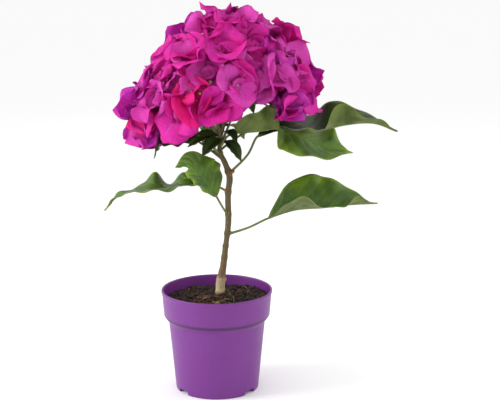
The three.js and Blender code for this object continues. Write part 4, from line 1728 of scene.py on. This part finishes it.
    def grown(self) -> list[OpenHead]:
        """Return every head as wide open as the leaves leave it room."""
        found = []
        for head in self.heads():
            draws = Draws(head.seed)
            for attempt in range(self.tries):
                opened = self.open_head(head, attempt, draws)
                if self.is_free(self.cup_points(opened), self.room):
                    found.append(opened)
                    break
        return found

    def side_heads(self, opened: OpenHead, draws: Draws) -> list[OpenHead]:
        """Return the smaller flowers that crowd round a head within its cell.

        Args:
            opened: The head.
            draws: Draws for the flowers' places, sizes and leans.

        Returns:
            The side flowers, opened.
        """
        head = opened.head
        across, along = square_to(head.axis)
        found = []
        for k in range(self.side_flowers):
            turn = math.radians(opened.spin + 60.0 + 360.0 / self.side_flowers * k)
            turn += draws.about(0.0, 0.5)
            outward = across * math.cos(turn) + along * math.sin(turn)
            axis = (head.axis + outward * draws.between(*self.side_lean)).normalized()
            root = head.root + outward * draws.between(*self.side_offset)
            root -= head.axis * draws.between(*self.side_sink)
            size = head.size * draws.between(*self.side_sizes)
            side = Head(head.mass, root, axis, head.opening, size, draws.state, head.walls)
            bracts = []
            for _ in range(3):
                length = self.bract_length * size * draws.about(1.0, 0.08)
                bracts.append((length, draws.between(*self.side_tip_lean)))
            found.append(OpenHead(side, draws.between(0.0, 360.0), opened.start, bracts))
        return found

    def bract(self, opened: OpenHead, k: int, draws: Draws) -> Blade:
        """Shape one bract of a head.

        Args:
            opened: The opened head.
            k: Which of its three bracts.
            draws: Draws for the ruffles.

        Returns:
            The bract's blade.
        """
        head = opened.head
        length, finish = opened.bracts[k]
        across, along = square_to(head.axis)
        turn = math.radians(opened.spin + 120.0 * k)
        outward = across * math.cos(turn) + along * math.sin(turn)
        rib = []
        tip_curl = draws.between(-self.tip_curl, self.tip_curl)
        finish += draws.between(*self.tip_drift)
        for i in range(self.rib_steps + 1):
            t = i / self.rib_steps
            away, rise = self.midrib(length, opened.start, finish, t)
            rise += tip_curl * t**4
            point = head.root + outward * (away + 1.2) + head.axis * rise
            rib.append(self.settled(head, point - UP * (self.droop * t * t)))
        phase, depth = draws.between(0.0, FULL_TURN), draws.between(*self.ruffle)

        def margin(shift: float) -> list[float]:
            """Return one half's tilts: cupped at the root, ruffled towards the tip."""
            lift = draws.between(-8.0, 16.0)
            last = len(self.cup) - 1
            return [
                rest
                + lift * min(1.0, i / 3)
                + depth * math.sin(phase + shift + FULL_TURN * 1.15 * i / last) * min(1.0, i / 2.5)
                for i, rest in enumerate(self.cup)
            ]

        half = self.bract_half_width * length / self.bract_length * draws.between(0.92, 1.08)
        left, right = margin(0.0), margin(2.2 + draws.about(0.0, 0.6))
        made = Blade(
            rib, head.axis * 0.8 - outward * 0.9, half, Outline(0.46, 0.74, 0.58), left, right,
            curl=draws.between(-30.0, 8.0), thickness=0.45, ripple=draws.between(0.8, 2.0),
            ripples=draws.between(2.4, 4.2), phase=phase,
        )
        made.press = lambda point: self.settled(head, point)
        return made

    def settled(self, head: Head, point: Vector) -> Vector:
        """Return a bract's point eased off its cell's walls and into the crown's outline."""
        point = self.pressed(head, point, self.press_share)
        away = point - self.centre
        outer = ease(away.length, *self.swell_reach)
        for way, depth in self.swells:
            aim = Vector(way).normalized()
            inside = ease(away.normalized().dot(aim), *self.swell_cone)
            point = point + aim * (depth * outer * inside)
        low, high = self.skirt
        sunk = lerp(low, high, ease(point.x, *self.skirt_span)) - point.z
        return point + UP * (max(0.0, sunk) * self.skirt_share)

    def build_bracts(self, grown: Sequence[OpenHead]) -> None:
        """Build every bract, in tones dealt out by spray."""
        tones = list(Tone)
        papers = [BractPaper(f"bract_{tone.name.lower()}", *tone.value) for tone in tones]
        materials = [paper.material() for paper in papers]
        main, side = Piece("bracts"), Piece("side_bracts")
        for opened in grown:
            draws = Draws(opened.head.seed ^ 0x5BD1)
            choice = MASSES[opened.head.mass].tones
            own = choice[int(draws.between(0.0, len(choice)))]
            for flower in (opened, *self.side_heads(opened, draws)):
                for k in range(3):
                    stray = draws.between(0.0, 1.0) > self.own_tone_share
                    tone = choice[int(draws.between(0.0, len(choice)))] if stray else own
                    blade, index = self.bract(flower, k, draws), tones.index(tone)
                    if flower is opened:
                        blade.grow(main, *self.bract_grid, index, index)
                    elif self.is_free(blade.samples(), self.side_room):
                        blade.grow(side, *self.side_grid, index, index)
        main.finish(materials, "bract", [f"bloom_{name}" for name in MASSES])
        side.finish(materials, "bract")

    def build_flowers(self, grown: Sequence[OpenHead]) -> None:
        """Build the small tubular flowers inside the bracts, open or in bud."""
        piece = Piece("flowers")
        for opened in grown:
            head, draws = opened.head, Draws(opened.head.seed ^ 0x1F3D)
            across, along = square_to(head.axis)
            for k in range(3):
                turn = math.radians(opened.spin + 120.0 * k + draws.about(0.0, 8.0))
                outward = across * math.cos(turn) + along * math.sin(turn)
                lean = (head.axis + outward * draws.between(0.16, 0.36)).normalized()
                foot = head.root + outward * 1.6 - head.axis * 1.0
                tall = draws.between(*self.flower_heights)
                rows = [
                    (*(foot + lean * (tall * share)), radius)
                    for share, radius in ((0.0, 0.5), (0.25, 0.95), (0.6, 0.75), (1.0, 1.05))
                ]
                Limb(rows, 6).grow(piece, 6, 1)
                if draws.between(0.0, 1.0) < self.star_share:
                    radius = draws.between(*self.star_radii)
                    self.star(piece, foot + lean * tall, lean, radius)
        cream = SoftTint("flower_cream", paint(254, 244, 206), paint(248, 226, 160))
        tube = SoftTint("flower_tube", paint(206, 40, 122), paint(196, 84, 100))
        piece.finish([cream.material(), tube.material()], "bract")

    def star(self, piece: Piece, middle: Vector, axis: Vector, radius: float) -> None:
        """Add the open end of a flower: a five-lobed dish with a raised eye."""
        across, along = square_to(axis)

        def place(t: float, turn: float) -> Vector:
            """Return the dish's point, over its face and back under it."""
            lobe = 0.72 + 0.28 * math.cos(5.0 * turn)
            reach = radius * math.sin(math.pi * t) ** 0.8 * lobe
            lift = 0.55 - 0.5 * t + 0.5 * math.sin(math.pi * t)
            way = across * math.cos(turn) + along * math.sin(turn)
            return middle + way * reach + axis * lift

        piece.tube(6, 20, place, 0)

    def plans(self, grown: Sequence[OpenHead]) -> list[Plan]:
        """Return each mass's bough foot, hub, fork and heads, the middle head last."""
        names = list(MASSES)
        low = [name for name in names if MASSES[name].elevation < self.low_masses]
        climb = [low[(i * self.bough_step) % len(low)] for i in range(len(low))]
        climb += [name for name in names if name not in low]
        made = []
        for name in names:
            axis = MASSES[name].axis
            level = climb.index(name) / (len(names) - 1)
            foot = self.stem.point(lerp(*self.bough_heights, level))
            own = [opened for opened in grown if opened.head.mass == name]
            own.sort(key=lambda opened: opened.head.axis.dot(axis))
            hub, fork = self.crown_point(axis, self.hub), self.crown_point(axis, self.fork)
            made.append((foot, hub, fork, own))
        return made

    def build_wood(self, grown: Sequence[OpenHead]) -> None:
        """Build the boughs from the stem and the twigs that carry the heads."""
        boughs, twigs = Piece("boughs"), Piece("twigs")
        thick, thin = self.bough_radii

        def knots(centre: Vector, turn: float, t: float) -> float:
            """Return the bark's small relief and a swelling at each third."""
            rough = noise.noise(Vector((math.cos(turn), math.sin(turn), centre.length * 0.3)))
            return 0.12 * rough + 0.22 * math.exp(-(((t * 3.0) % 1.0 - 0.5) * 9.0) ** 2)

        for foot, hub, fork, own in self.plans(grown):
            ahead = (fork - hub).normalized()
            neck = hub - ahead * self.neck
            rows = [
                (*foot, thick),
                (*foot.lerp(neck, 0.5), (thick + thin) / 2.0),
                (*neck, thin),
                (*hub, thin),
            ]
            Limb(rows, 36, knots).grow(boughs, 10)
            rows = [(*hub, self.twig_radii[0]), (*fork, self.twig_radii[1])]
            Limb(rows, 8, knots).grow(twigs, 8)
            for k, opened in enumerate(own):
                start = hub.lerp(fork, (k + 1) / len(own) - self.stalk_lead)
                tip = opened.head.root - opened.head.axis * self.stalk_sink
                stalk, cup = self.stalk_radii
                bow = UP * -1.5
                rows = [(*start, stalk * 0.9), (*(start.lerp(tip, 0.5) + bow), stalk), (*tip, cup)]
                Limb(rows, 12).grow(twigs, 7)
        young = YoungBark("bough_bark", paint(104, 108, 58), paint(112, 92, 56))
        green = YoungBark("twig_bark", paint(84, 98, 46), paint(122, 66, 70))
        boughs.finish([young.material()], "green_wood", [f"bough_{name}" for name in MASSES])
        twigs.finish([green.material()], "green_wood")

    def inner_leaves(self, grown: Sequence[OpenHead]) -> list[Sprig]:
        """Return the small leaves along the twigs, in the shade of the flowers."""
        draws = Draws(self.inner_seed)
        found = []
        for _, hub, fork, _ in self.plans(grown):
            ahead = (fork - hub).normalized()
            across, along = square_to(ahead)
            for k in range(self.inner_count):
                turn = FULL_TURN * (k / self.inner_count) + draws.about(0.0, 0.5)
                side = across * math.cos(turn) + along * math.sin(turn)
                foot = hub.lerp(fork, draws.between(0.1, 1.0))
                length = draws.between(*self.inner_lengths)
                way = (ahead * draws.between(0.5, 1.1) + side).normalized()
                up = ahead * 0.8 - side * 0.5 + UP * 0.4
                found.append(Sprig(foot, foot + way * length, length * 0.28, up))
        return found

    def build(self) -> None:
        """Grow the crown and build everything in it."""
        grown = self.grown()
        log.info("crown: %d flower heads", len(grown))
        self.build_wood(grown)
        self.build_bracts(grown)
        self.build_flowers(grown)
        Foliage(leaves=self.leaves).build(self.inner_leaves(grown))


# ---------------------------------------------------------------- studio


@dataclass
class Studio:
    """A plain pale floor, soft light and the camera."""

    camera_place: Point = (0.0359, -1.1417, 0.435)
    camera_tilt: float = 0.196686
    focal_pixels: float = 1092.2
    image_width: float = 500.0
    sensor: float = 36.0
    floor_size: float = 60.0
    sky: float = 1.0
    aim: Point = (0.0, 0.0, 0.26)
    lamps: tuple[tuple[Point, float, float], ...] = (
        ((-1.3, -0.3, 0.8), 0.6, 14.0),
        ((1.3, -0.1, 0.8), 0.8, 3.5),
        ((0.2, 0.7, 1.5), 1.0, 2.5),
    )

    def build_floor(self) -> None:
        """Lay the floor."""
        bm = bmesh.new()
        bmesh.ops.create_grid(bm, x_segments=1, y_segments=1, size=self.floor_size / 2)
        mesh = mesh_of(bm, "floor")
        graph = Graph("floor_paper")
        cloud = graph.noise(graph.places("Object"), 3.0)
        tint = graph.blend(cloud * 0.1, paint(250, 250, 250), paint(244, 244, 246))
        mesh.materials.append(graph.surface({"Base Color": tint, "Roughness": 0.9}))
        floor = add_object("floor", mesh)

    def build_light(self) -> None:
        """Set the sky and the lamps."""
        world = bpy.data.worlds.new("sky")
        world.use_nodes = True
        sky = world.node_tree.nodes["Background"]
        sky.inputs["Color"].default_value = (1.0, 1.0, 1.0, 1.0)
        sky.inputs["Strength"].default_value = self.sky
        bpy.context.scene.world = world
        bpy.context.scene.view_settings.view_transform = "Standard"
        for i, (spot, size, power) in enumerate(self.lamps):
            data = bpy.data.lights.new(f"lamp_{i}", "AREA")
            data.size, data.energy = size, power
            lamp = add_object(f"lamp_{i}", data)
            lamp.location = spot
            way = Vector(self.aim) - Vector(spot)
            lamp.rotation_euler = way.to_track_quat("-Z", "Y").to_euler()

    def build_camera(self) -> None:
        """Set the camera."""
        data = bpy.data.cameras.new("camera")
        data.sensor_width = self.sensor
        data.lens = self.focal_pixels * self.sensor / self.image_width
        camera = add_object("camera", data)
        camera.location = self.camera_place
        camera.rotation_euler = (math.pi / 2 - self.camera_tilt, 0.0, 0.0)
        bpy.context.scene.camera = camera

    def build(self) -> None:
        """Build the floor, the light and the camera."""
        self.build_camera()
        self.build_floor()
        self.build_light()


def main() -> None:
    """Build the pot, the plant and the studio."""
    logging.basicConfig(level=logging.INFO, format="%(message)s", stream=sys.stdout)
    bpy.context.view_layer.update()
    Studio().build()
    pot = Pot()
    pot.build()
    Soil(pot).build()
    stem = Stem()
    stem.build()
    Crown(stem, LEAVES).build()
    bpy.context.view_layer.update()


if __name__ == "__main__":
    main()
